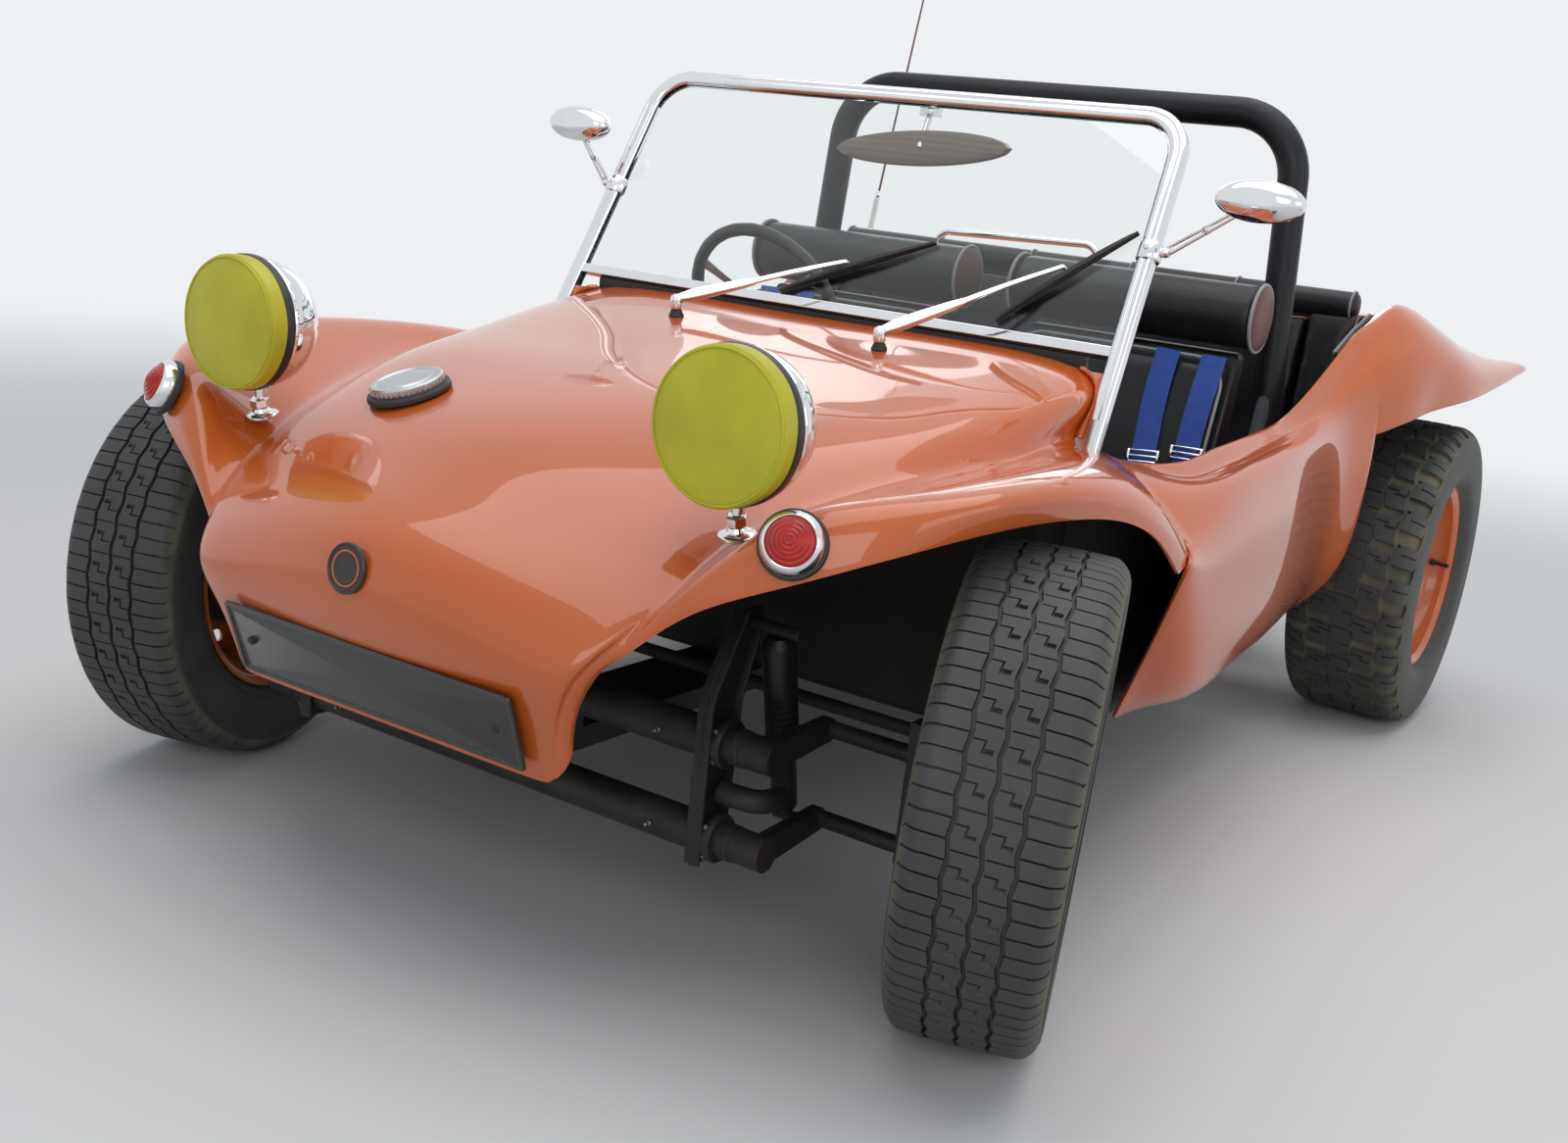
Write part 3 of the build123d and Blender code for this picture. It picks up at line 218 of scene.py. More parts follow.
# %% Grids and joined forms
def grid(points, around=False, along=False):
    """A form from a grid of points: each face takes four neighbours.

    around joins the last column to the first one, and along joins the last row to the first.
    """
    points = np.asarray(points, float)
    high, wide = points.shape[:2]
    index = np.arange(high * wide).reshape(high, wide)
    if along:
        index = np.vstack([index, index[:1]])
    if around:
        index = np.hstack([index, index[:, :1]])
    corners = (index[:-1, :-1], index[:-1, 1:], index[1:, 1:], index[1:, :-1])
    return points.reshape(-1, 3), np.stack(corners, -1).reshape(-1, 4)


def together(*forms):
    """Several forms as one: points stacked, face numbers moved up by the points before them."""
    shifts = np.cumsum([0] + [len(points) for points, _ in forms])
    return (np.vstack([points for points, _ in forms]),
            np.vstack([faces + shift for (_, faces), shift in zip(forms, shifts)]))


def beside(axis, near=upward):
    """Two directions square to an axis and to each other, the second as near to near as can be."""
    axis = unit(axis)
    if abs(np.dot(axis, unit(near))) > 0.99:
        near = forward
    first = unit(np.cross(near, axis))
    return first, np.cross(axis, first)


def circle(count):
    """Angles right round, evenly spaced."""
    return np.linspace(0, 2 * math.pi, count, endpoint=False)


def spokes_of(turn, first, second):
    """Directions cos t first + sin t second, for one angle or an array of them."""
    turn = np.asarray(turn)[..., None]
    return np.cos(turn) * first + np.sin(turn) * second


# %% Turned, carried and flat forms
def turned(profile, centre, axis, sides=48, closed=False):
    """A profile in millimetres turned about an axle.

    A profile point (a, r) goes to centre + a axis + r (cos t side + sin t up), t right round.
    """
    profile = np.asarray(profile, float) * mm
    ahead, out = profile[:, 0, None, None], profile[:, 1, None, None]
    rings = ahead * unit(axis) + out * spokes_of(circle(sides), *beside(axis))
    return grid(np.asarray(centre) + rings, around=True, along=closed)


def round_section(radius, sides=16):
    """A circle as a section."""
    return radius * mm * np.stack([np.cos(circle(sides)), np.sin(circle(sides))], -1)


def rounded_outline(half_wide, half_high, radius, steps=6):
    """The corner arcs of a rounded rectangle, as (across, up)."""
    arcs = []
    for k, (a, b) in enumerate(((1, 1), (-1, 1), (-1, -1), (1, -1))):
        turn = np.linspace(0, math.pi / 2, steps) + k * math.pi / 2
        arc = radius * np.stack([np.cos(turn), np.sin(turn)], -1)
        arcs.append(arc + (a * (half_wide - radius), b * (half_high - radius)))
    return np.concatenate(arcs) * mm


def carried(path, section, up=upward, loop=False, scale=1.0):
    """A section carried along a path, square to it.

    At each path point the section's first axis is up crossed with the path's direction, and its
    second one is square to both. Open ends close in a flat cap.
    """
    path = np.asarray(path, float)
    ahead = np.roll(path, -1, 0) - np.roll(path, 1, 0) if loop else np.gradient(path, axis=0)
    ahead /= np.linalg.norm(ahead, axis=1)[:, None]
    side = np.cross(np.asarray(up, float), ahead)
    side /= np.linalg.norm(side, axis=1)[:, None]
    over = np.cross(ahead, side)
    flat = section[None, :, 0, None] * side[:, None] + section[None, :, 1, None] * over[:, None]
    rings = path[:, None] + np.broadcast_to(scale, len(path))[:, None, None] * flat
    if not loop:
        rings = np.concatenate([path[:1, None] + 0 * rings[:1], rings, path[-1:, None] + 0 * rings[:1]])
    return grid(rings, around=True, along=loop)


def tube(start, end, section, up=upward, scale=None, count=2):
    """A section carried straight from start to end."""
    scale = np.ones(count) if scale is None else np.asarray(scale, float)
    return carried(np.linspace(start, end, len(scale)), section, up, scale=scale)


def rounded_path(corners, radius, steps=8):
    """A path of straight runs with an arc of the given radius at each inner corner.

    The arc starts radius over tan(half the corner's angle) before the corner, and its points run
    round the circle that touches both runs.
    """
    corners = np.asarray(corners, float)
    points = [corners[0]]
    for before, corner, after in zip(corners[:-2], corners[1:-1], corners[2:]):
        back, ahead = unit(before - corner), unit(after - corner)
        half = 0.5 * math.acos(np.clip(np.dot(back, ahead), -1, 1))
        middle = corner + unit(back + ahead) * radius * mm / math.sin(half)
        out, end = (unit(corner + way * radius * mm / math.tan(half) - middle) for way in (back, ahead))
        across = unit(end - out * math.cos(math.pi - 2 * half))
        turn = np.linspace(0, math.pi - 2 * half, steps)
        points += list(middle + radius * mm * spokes_of(turn, out, across))
    points.append(corners[-1])
    return np.array(points)


def bar(start, end, radius, sides=20, edge=0.0):
    """A round bar from start to end, its ends bevelled by edge."""
    length = np.linalg.norm(np.asarray(end, float) - start) / mm
    profile = [(0, 0), (0, radius - edge), (edge, radius), (length - edge, radius), (length, radius - edge),
               (length, 0)]
    return turned(profile, start, np.asarray(end, float) - start, sides)


def slab(outline, depth):
    """A flat outline of points and the same outline moved by depth, walled and capped."""
    ring = np.asarray(outline, float)
    middle = ring.mean(0) + 0 * ring
    return grid(np.stack([middle, ring, ring + depth, middle + depth]), around=True)


def box_form(low, high):
    """A box between two corners."""
    (x1, y1, z1), (x2, y2, z2) = np.minimum(low, high), np.maximum(low, high)
    return slab([(x1, y1, z1), (x2, y1, z1), (x2, y2, z1), (x1, y2, z1)], [0, 0, z2 - z1])


# %% Turning forms into finished objects
looks = {}
merge_reach = 1e-6


def mesh_of(name, form, closed=True, soil=None, spare=None):
    """A mesh from a form.

    Doubled points are merged, which closes seams and poles, or else spare edges are dissolved,
    and faces of a closed form are turned outwards. soil is kept as a value at each point.
    """
    points, faces = form
    mesh = bpy.data.meshes.new(name)
    mesh.from_pydata(points.tolist(), [], faces.tolist())
    if soil is not None:
        mesh.attributes.new("soil", "FLOAT", "POINT").data.foreach_set("value", soil.astype(np.float32))
    edit = bmesh.new()
    edit.from_mesh(mesh)
    if spare is None:
        bmesh.ops.remove_doubles(edit, verts=edit.verts, dist=merge_reach)
        bmesh.ops.dissolve_degenerate(edit, edges=edit.edges, dist=merge_reach)
    else:
        edit.verts.ensure_lookup_table()
        edges = [edit.edges.get((edit.verts[a], edit.verts[b])) for a, b in spare.tolist()]
        bmesh.ops.dissolve_edges(edit, edges=edges, use_verts=True)
    if closed:
        bmesh.ops.recalc_face_normals(edit, faces=edit.faces)
    edit.to_mesh(mesh)
    edit.free()
    return mesh


def make_piece(name, form, look, replaced=(), slot=None, sharp=40, body="chassis", closed=True, **extra):
    """One finished object at the origin from a form, standing for the CAD nodes in replaced.

    A list of forms is put together. slot is not used. Edges that bend more than sharp degrees
    stay crisp.
    """
    mesh = mesh_of(name, together(*form) if isinstance(form, list) else form, closed, **extra)
    mesh.shade_smooth()
    mesh.set_sharp_from_angle(angle=math.radians(sharp))
    mesh.materials.append(looks[look])
    piece = linked(name, mesh)
    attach(piece, body)
    if replaced:
        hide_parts(*([replaced] if isinstance(replaced, str) else replaced))
    print(name, len(mesh.polygons), "faces")
    return piece


def modify(piece, kind, **settings):
    """Add one modifier and set its values."""
    modifier = piece.modifiers.new(kind.lower(), kind)
    for key, value in settings.items():
        setattr(modifier, key, value)
    return modifier


def bevelled(piece, width, segments=2, angle=40):
    """Softened edges, as pressed or cast parts have."""
    modify(piece, "BEVEL", width=width * mm, segments=segments, limit_method="ANGLE",
           angle_limit=math.radians(angle))


def evaluated(piece):
    """The piece as its modifiers leave it."""
    bpy.context.view_layer.update()
    return piece.evaluated_get(bpy.context.evaluated_depsgraph_get())


# %% [markdown]
# ## Shader groups that the finishes share
#
# Real surfaces are never one even value. Paint has a faint ripple, rubber carries dust in its
# grooves, and vinyl has a grain. Such effects are used by many finishes here, so each is a node
# group, built once, with its scale and strength as inputs. A group gives out one mask or one
# normal; the shader itself stays in each material.

# %% Node groups: patches, ripple, dust and grain
def new_group(name, inputs, result):
    """A shader group of number inputs and one result: itself, its inputs, its end, and place."""
    group = bpy.data.node_groups.new(name, "ShaderNodeTree")
    for label, value in inputs.items():
        socket = group.interface.new_socket(label, in_out="INPUT", socket_type="NodeSocketFloat")
        socket.default_value = value
    kind = "NodeSocketVector" if result == "Normal" else "NodeSocketFloat"
    group.interface.new_socket(result, in_out="OUTPUT", socket_type=kind)
    given, end = group.nodes.new("NodeGroupInput").outputs, group.nodes.new("NodeGroupOutput")
    return group, given, end, wire(group, "TexCoord")["Object"]


def patches_group():
    """Cloudy patches: noise on the piece's own coordinates, spread from 0 to 1."""
    group, given, end, place = new_group("patches", {"Scale": 5.0, "Detail": 4.0}, "Mask")
    noise = wire(group, "TexNoise", {"Vector": place, "Scale": given["Scale"], "Detail": given["Detail"]})
    spread = wire(group, "MapRange", {"Value": noise["Fac"], "From Min": 0.32, "From Max": 0.68})
    feed(group, end, {"Mask": spread["Result"]})
    return group


def ripple_group():
    """A bumpy normal: noise as the height of a Bump node, with a strength and a depth."""
    inputs = {"Scale": 60.0, "Strength": 0.1, "Depth": 0.001}
    group, given, end, place = new_group("ripple", inputs, "Normal")
    noise = wire(group, "TexNoise", {"Vector": place, "Scale": given["Scale"], "Detail": 3.0})
    bump = wire(group, "Bump", {
        "Height": noise["Fac"], "Strength": given["Strength"], "Distance": given["Depth"],
    })
    feed(group, end, {"Normal": bump["Normal"]})
    return group


def dust_group():
    """Dust broken up by noise, and thicker near the ground: noise times height's share, times amount."""
    group, given, end, place = new_group("dust", {"Amount": 0.4, "Scale": 9.0}, "Mask")
    noise = wire(group, "TexNoise", {
        "Vector": place, "Scale": given["Scale"], "Detail": 6.0, "Roughness": 0.65,
    })
    height = wire(group, "SeparateXYZ", {"Vector": place})["Z"]
    low = wire(group, "MapRange", {
        "Value": height, "From Min": 0.05, "From Max": 0.55, "To Min": 1.0, "To Max": 0.15,
    })
    shape = wire(group, "MapRange", {"Value": noise["Fac"], "From Min": 0.38, "From Max": 0.72})
    both = maths(group, "MULTIPLY", shape["Result"], low["Result"])
    feed(group, end, {"Mask": maths(group, "MULTIPLY", both, given["Amount"])})
    return group


def grain_group():
    """Vinyl grain: small cells pressed into the surface, with softer wrinkles under them."""
    group, given, end, place = new_group("grain", {"Cells": 420.0, "Strength": 0.35}, "Normal")
    cells = wire(group, "TexVoronoi", {"Vector": place, "Scale": given["Cells"]})
    wrinkles = wire(group, "TexNoise", {"Vector": place, "Scale": 26.0, "Detail": 4.0})
    height = maths(group, "MULTIPLY_ADD", cells["Distance"], 0.12, wrinkles["Fac"])
    bump = wire(group, "Bump", {"Height": height, "Strength": given["Strength"], "Distance": 0.003})
    feed(group, end, {"Normal": bump["Normal"]})
    return group


patches, ripple, dust, grain = patches_group(), ripple_group(), dust_group(), grain_group()
print("groups", [group.name for group in (patches, ripple, dust, grain)])


# %% Short ways to use the groups
def placed(tree, group, **values):
    """The result of a shader group inside a material, with its input values set."""
    node = tree.nodes.new("ShaderNodeGroup")
    node.node_tree = group
    feed(tree, node, values)
    return node.outputs[0]


def blended(tree, mask, low, high):
    """A colour between low and high by a mask. Either may be a socket."""
    mix_node = tree.nodes.new("ShaderNodeMix")
    mix_node.data_type = "RGBA"
    tree.links.new(mask, mix_node.inputs[0])
    for socket, value in zip([socket for socket in mix_node.inputs if socket.type == "RGBA"], (low, high)):
        if isinstance(value, bpy.types.NodeSocket):
            tree.links.new(value, socket)
        else:
            socket.default_value = (*value, 1)
    return next(socket for socket in mix_node.outputs if socket.type == "RGBA")


def ranged(tree, mask, low, high):
    """A number that runs from low to high as the mask runs from 0 to 1."""
    return wire(tree, "MapRange", {"Value": mask, "To Min": low, "To Max": high})["Result"]


def finish(name, colour, shade, rough, metal=0.0, coat=0.0, bump=(60.0, 0.1, 0.001), soil=0.0, patch=5.0,
           vinyl=False, specular=0.5):
    """A finish with two-tone patches, uneven roughness, a bumpy normal and dust.

    colour and shade are the two tones, rough is the roughness at each of them, and bump gives
    the scale, strength and depth of the ripple.
    """
    material, tree, shader = new_material(name, {
        "Metallic": metal, "Coat Weight": coat, "Coat Roughness": 0.03, "Specular IOR Level": specular,
    })
    mask = placed(tree, patches, Scale=patch)
    tone, roughness = blended(tree, mask, colour, shade), ranged(tree, mask, *rough)
    if soil > 0:
        dirt = placed(tree, dust, Amount=soil)
        tone = blended(tree, dirt, tone, (0.24, 0.20, 0.15))
        roughness = maths(tree, "MULTIPLY_ADD", dirt, 0.5, roughness)
    if vinyl:
        normal = placed(tree, grain)
    else:
        normal = placed(tree, ripple, **dict(zip(("Scale", "Strength", "Depth"), bump)))
    feed(tree, shader, {"Base Color": tone, "Roughness": roughness, "Normal": normal})
    return material


# %% [markdown]
# ## The finishes
#
# The body is pigmented gelcoat polished to a deep gloss, so it is a coloured diffuse base under
# a clear coat that mirrors the sky. Chrome is a metal with almost no roughness. Black paint,
# rubber and vinyl differ in colour by very little: what tells them apart is gloss and grain.

# %% Mix the finishes
finish_table = [
    # name, colour, shade, roughness at each, and what differs from a plain finish
    ("orange_gloss", (0.62, 0.122, 0.018), (0.57, 0.106, 0.014), (0.30, 0.38),
     {"coat": 1.0, "bump": (7.0, 0.12, 0.004), "soil": 0.10, "patch": 1.6, "specular": 0.25}),
    ("orange_steel", (0.66, 0.150, 0.022), (0.58, 0.120, 0.018), (0.30, 0.42),
     {"coat": 0.6, "bump": (90.0, 0.1, 0.0008), "soil": 0.35}),
    ("under_coat", (0.012, 0.011, 0.011), (0.024, 0.018, 0.015), (0.6, 0.8),
     {"bump": (160.0, 0.5, 0.0015), "soil": 0.2}),
    ("black_chassis", (0.010, 0.010, 0.011), (0.018, 0.017, 0.016), (0.42, 0.65),
     {"bump": (120.0, 0.35, 0.0012), "soil": 0.2, "specular": 0.35}),
    ("black_tube", (0.009, 0.010, 0.013), (0.013, 0.014, 0.017), (0.34, 0.48),
     {"bump": (70.0, 0.15, 0.0006), "specular": 0.28}),
    ("black_vinyl", (0.010, 0.011, 0.014), (0.015, 0.016, 0.019), (0.32, 0.44),
     {"vinyl": True, "patch": 9.0, "specular": 0.35}),
    ("grey_piping", (0.30, 0.31, 0.32), (0.22, 0.23, 0.24), (0.40, 0.55), {"bump": (300.0, 0.2, 0.0004)}),
    ("brown_vinyl", (0.115, 0.045, 0.036), (0.085, 0.034, 0.028), (0.42, 0.55), {"vinyl": True}),
    ("cover_yellow", (0.56, 0.53, 0.018), (0.46, 0.44, 0.02), (0.36, 0.50),
     {"bump": (14.0, 0.35, 0.004), "patch": 11.0}),
    ("cover_black", (0.012, 0.012, 0.012), (0.02, 0.02, 0.02), (0.38, 0.5), {"vinyl": True}),
    ("chrome", (0.80, 0.81, 0.83), (0.74, 0.75, 0.77), (0.035, 0.10),
     {"metal": 1.0, "bump": (8.0, 0.06, 0.002), "patch": 20.0}),
    ("aluminium", (0.56, 0.57, 0.58), (0.44, 0.45, 0.46), (0.24, 0.40),
     {"metal": 1.0, "bump": (180.0, 0.3, 0.0008), "soil": 0.2, "patch": 16.0}),
    ("cast_aluminium", (0.34, 0.34, 0.335), (0.22, 0.22, 0.215), (0.45, 0.68),
     {"metal": 0.9, "bump": (260.0, 0.6, 0.0012), "soil": 0.45, "patch": 18.0}),
    ("iron", (0.055, 0.052, 0.05), (0.10, 0.06, 0.045), (0.55, 0.78),
     {"metal": 0.6, "bump": (220.0, 0.6, 0.0014), "soil": 0.4}),
    ("steel", (0.36, 0.34, 0.32), (0.24, 0.19, 0.16), (0.30, 0.55),
     {"metal": 1.0, "bump": (120.0, 0.3, 0.0008), "soil": 0.25}),
    ("rubber", (0.014, 0.014, 0.014), (0.022, 0.022, 0.021), (0.45, 0.62), {"bump": (200.0, 0.3, 0.0008)}),
    ("plastic_black", (0.012, 0.012, 0.013), (0.020, 0.020, 0.021), (0.34, 0.50),
     {"bump": (240.0, 0.25, 0.0005)}),
    ("plate_black", (0.010, 0.010, 0.010), (0.014, 0.014, 0.014), (0.16, 0.26),
     {"coat": 0.5, "bump": (30.0, 0.05, 0.0008), "soil": 0.1}),
    ("badge_brown", (0.034, 0.026, 0.022), (0.024, 0.019, 0.017), (0.34, 0.5),
     {"bump": (150.0, 0.2, 0.0005)}),
    ("antenna_red", (0.16, 0.03, 0.022), (0.10, 0.022, 0.018), (0.35, 0.5), {}),
    ("foam_grey", (0.10, 0.115, 0.13), (0.07, 0.08, 0.09), (0.72, 0.9), {"bump": (320.0, 0.6, 0.0012)}),
    ("dial_white", (0.70, 0.70, 0.68), (0.60, 0.60, 0.58), (0.4, 0.55), {"bump": (200.0, 0.1, 0.0003)}),
]
for name, colour, shade, rough, differing in finish_table:
    looks[name] = finish(name, colour, shade, rough, **differing)
print("finishes", len(looks))

# %% [markdown]
# Some finishes need more: a clear glass, a mirror, a red lens, varnished wood with its rings,
# woven belts with a fine rib, and rubber whose grooves hold dust.

# %% Glass, lens, wood, webbing and tyre rubber
looks["screen_glass"] = new_material("screen_glass", {
    "Base Color": (0.93, 0.96, 0.95, 1), "Roughness": 0.0, "IOR": 1.45, "Transmission Weight": 1.0,
})[0]
looks["mirror_glass"] = new_material("mirror_glass", {
    "Base Color": (0.86, 0.88, 0.90, 1), "Metallic": 1.0, "Roughness": 0.01,
})[0]


def lens_finish():
    """Red lens: two tones in fine patches, smooth, under a thin coat."""
    material, tree, shader = new_material("lens_red", {
        "Roughness": 0.08, "Specular IOR Level": 0.25, "Coat Weight": 0.25,
    })
    tone = blended(tree, placed(tree, patches, Scale=30.0), (0.60, 0.014, 0.006), (0.34, 0.005, 0.003))
    feed(tree, shader, {"Base Color": tone})
    return material


def wood_finish():
    """Varnished wood: rings of a wave, bent by noise, between a light and a dark brown."""
    material, tree, shader = new_material("varnished_wood", {
        "Roughness": 0.38, "Coat Weight": 0.35, "Coat Roughness": 0.12,
    })
    place = wire(tree, "TexCoord")["Object"]
    stretch = wire(tree, "Mapping", {"Vector": place, "Scale": (3.0, 1.0, 9.0)})["Vector"]
    rings = wire(tree, "TexWave", {
        "Vector": stretch, "Scale": 3.2, "Distortion": 5.0, "Detail": 3.0, "Detail Scale": 1.6,
    }, bands_direction="Z")["Fac"]
    bump = wire(tree, "Bump", {"Height": rings, "Strength": 0.08, "Distance": 0.001})
    tone = blended(tree, rings, (0.25, 0.195, 0.155), (0.20, 0.155, 0.125))
    feed(tree, shader, {"Base Color": tone, "Normal": bump["Normal"]})
    return material


def belt_finish():
    """Blue webbing: ribs along the strip, made from the distance that the strip carries as run."""
    material, tree, shader = new_material("belt_blue", {"Roughness": 0.72, "Sheen Weight": 0.3})
    run = wire(tree, "Attribute", attribute_name="run")["Fac"]
    wave = maths(tree, "SINE", maths(tree, "MULTIPLY", run, 2 * math.pi / (1.6 * mm)))
    height = maths(tree, "MULTIPLY_ADD", wave, 0.5, 0.5)
    bump = wire(tree, "Bump", {"Height": height, "Strength": 0.4, "Distance": 0.0006})
    tone = blended(tree, placed(tree, patches, Scale=40.0), (0.016, 0.065, 0.34), (0.022, 0.085, 0.42))
    feed(tree, shader, {"Base Color": tone, "Normal": bump["Normal"]})
    return material


def tyre_finish():
    """Worn rubber: near black on the blocks, dust where the soil attribute of the mesh is high."""
    material, tree, shader = new_material("tyre_rubber", {})
    soil = wire(tree, "Attribute", attribute_name="soil")["Fac"]
    fleck = maths(tree, "MULTIPLY_ADD", placed(tree, patches, Scale=16.0, Detail=8.0), 0.75, 0.25)
    mask = maths(tree, "MULTIPLY", soil, fleck)
    worn = blended(tree, placed(tree, patches, Scale=7.0), (0.030, 0.033, 0.034), (0.046, 0.049, 0.049))
    feed(tree, shader, {
        "Base Color": blended(tree, mask, worn, (0.205, 0.185, 0.125)),
        "Roughness": ranged(tree, mask, 0.56, 0.92),
        "Normal": placed(tree, ripple, Scale=240.0, Strength=0.35, Depth=0.0008),
    })
    return material


looks.update(lens_red=lens_finish(), varnished_wood=wood_finish(), belt_blue=belt_finish(),
             tyre_rubber=tyre_finish())
print("with special ones", len(looks))

# %% [markdown]
# ## The body shell
#
# The real body is one thin moulding with soft, flowing lines. The way to hold such a shape is by
# its character lines: each row of a table crosses the car, and its columns are the lines that
# run from nose to screen, such as the bonnet ridge, the valley beside it and the crest of the
# wing. New points between the lines lie on a smooth curve through the old ones, and a few rounds
# of averaging take out the last unevenness, because glossy paint shows every wobble.

# %% Smooth a table of character lines
wheelbase = 2.054
front_axle_x = joints["spin_rear_left"]["pos_m"][0] + wheelbase
halvings = 3
fine = 2 ** halvings
mirrored = np.array([1, -1, 1])


def at(x, y, z):
    """A point given in millimetres from the front axle's line."""
    return np.array([front_axle_x + x * mm, y * mm, z * mm])


def halved(points, axis=0):
    """One new point between each two along an axis: 9/16 of its neighbours less 1/16 of the next."""
    lines = np.moveaxis(points, axis, 0)
    padded = np.concatenate([2 * lines[:1] - lines[1:2], lines, 2 * lines[-1:] - lines[-2:-1]])
    middle = (padded[1:-2] + padded[2:-1]) * 0.5625 - (padded[:-3] + padded[3:]) * 0.0625
    finer = np.empty((2 * len(lines) - 1, *lines.shape[1:]))
    finer[0::2], finer[1::2] = lines, middle
    return np.moveaxis(finer, 0, axis)


def curve_through(points, steps):
    """A smooth line through a few points, by halving."""
    line = np.asarray(points, float)
    for _ in range(steps):
        line = halved(line)
    return line


def smooth_sheet(points, rounds=10):
    """A table of points made finer by halving both ways, then faired.

    In each round an inner point moves half way to the mean of its four neighbours. Points on an
    edge move only along that edge, which keeps the outline.
    """
    for _ in range(halvings):
        points = halved(halved(points, 0), 1)
    for _ in range(rounds):
        mean = (points[:-2, 1:-1] + points[2:, 1:-1] + points[1:-1, :-2] + points[1:-1, 2:]) / 4
        points[1:-1, 1:-1] += 0.5 * (mean - points[1:-1, 1:-1])
        for edge in (points[0], points[-1], points[:, 0], points[:, -1]):
            edge[1:-1] += 0.25 * ((edge[:-2] + edge[2:]) / 2 - edge[1:-1])
    return points


def both_sides(half):
    """Rows from the right edge to the left edge, from rows that run from the centre to the left."""
    return np.concatenate([half[:, :0:-1] * mirrored, half], axis=1)


def body_rows(table, centred=True):
    """Rows of points, each x, y, z in a table from the front axle. A centred row's first has no y."""
    table = np.array(table, float)
    if centred:
        table = np.insert(table, 1, 0.0, axis=1)
    rows = table.reshape(len(table), -1, 3) * mm
    rows[..., 0] += front_axle_x
    return rows


def bent(sheet, shift, rows):
    """A sheet whose first rows are moved by shift, which fades as (1 - t)^2 (1 + 2 t)."""
    share = np.arange(rows) / rows
    moved = sheet.copy()
    moved[:rows] += ((1 - share) ** 2 * (1 + 2 * share))[:, None, None] * shift
    return moved


# %% Bonnet, front wings and scuttle
# Columns: centre (x, z), then ridge, valley, crest, shoulder and lip (x, y, z).
front_table = [
    (380, 305, 380, 250, 305, 379, 285, 311, 378, 299, 322, 377, 308, 336, 376, 313, 352),
    (411, 385, 408, 270, 388, 402, 305, 392, 395, 318, 398, 390, 322, 404, 384, 322, 412),
    (463, 474, 437, 305, 466, 412, 333, 462, 400, 342, 462, 392, 347, 466, 382, 350, 470),
    (451, 572, 388, 330, 532, 368, 372, 520, 366, 382, 516, 368, 382, 506, 370, 376, 494),
    (330, 640, 315, 336, 590, 320, 400, 562, 340, 437, 592, 350, 450, 582, 350, 452, 562),
    (200, 703, 180, 348, 668, 225, 430, 624, 268, 520, 688, 303, 555, 676, 315, 566, 617),
    (0, 748, -10, 395, 734, 50, 480, 668, 150, 625, 722, 205, 668, 712, 235, 660, 662),
    (-200, 775, -200, 440, 762, -130, 515, 690, -30, 665, 738, 50, 728, 730, 60, 720, 688),
    (-380, 803, -380, 485, 790, -300, 530, 700, -190, 665, 742, -130, 748, 727, -140, 755, 682),
    (-490, 818, -490, 503, 808, -410, 526, 714, -340, 645, 736, -310, 755, 690, -290, 768, 640),
    (-590, 834, -590, 507, 828, -530, 519, 722, -500, 610, 708, -482, 748, 604, -400, 770, 575),
]
front_sheet = smooth_sheet(both_sides(body_rows(front_table)))
middle_column = 5 * fine
print("bonnet sheet", front_sheet.shape[:2])

# %% Cockpit sides
# Columns: foot of the inner wall, rim, crest, ridge, bottom and sill (x, y, z).
side_table = [
    (-532, 541, 262, -532, 541, 722, -502, 611, 707, -485, 748, 601, -430, 768, 560, -600, 640, 275),
    (-640, 600, 262, -640, 626, 670, -655, 665, 667, -690, 746, 645, -640, 764, 368, -690, 640, 268),
    (-840, 606, 262, -840, 634, 680, -850, 672, 677, -880, 738, 660, -880, 754, 372, -880, 636, 266),
    (-1060, 606, 262, -1060, 632, 690, -1070, 668, 688, -1100, 726, 676, -1100, 740, 380, -1100, 632, 266),
    (-1250, 606, 262, -1250, 626, 702, -1260, 660, 703, -1300, 708, 692, -1330, 716, 396, -1330, 626, 268),
    (-1400, 606, 262, -1400, 634, 762, -1430, 665, 752, -1480, 702, 712, -1500, 704, 412, -1500, 618, 272),
    (-1562, 606, 262, -1562, 640, 842, -1578, 684, 832, -1596, 732, 772, -1608, 722, 424, -1580, 616, 280),
]


def joined_to_front(side, front, rows):
    """The cockpit side with its first edge moved onto the last line of the front sheet.

    Rim, crest and ridge of the side meet valley, crest and shoulder of the front. The shift
    goes down in a straight line from the ridge to the bottom.
    """
    shift = np.zeros_like(side[0])
    shift[fine:3 * fine + 1] = front[-1, 7 * fine:9 * fine + 1] - side[0, fine:3 * fine + 1]
    shift[:fine] = shift[fine]
    shift[3 * fine:4 * fine + 1] = np.linspace(shift[3 * fine], 0 * shift[0], fine + 1)
    return bent(side, shift, rows)


left_side = joined_to_front(smooth_sheet(body_rows(side_table, centred=False)), front_sheet, 10)
print("side sheet", left_side.shape[:2])

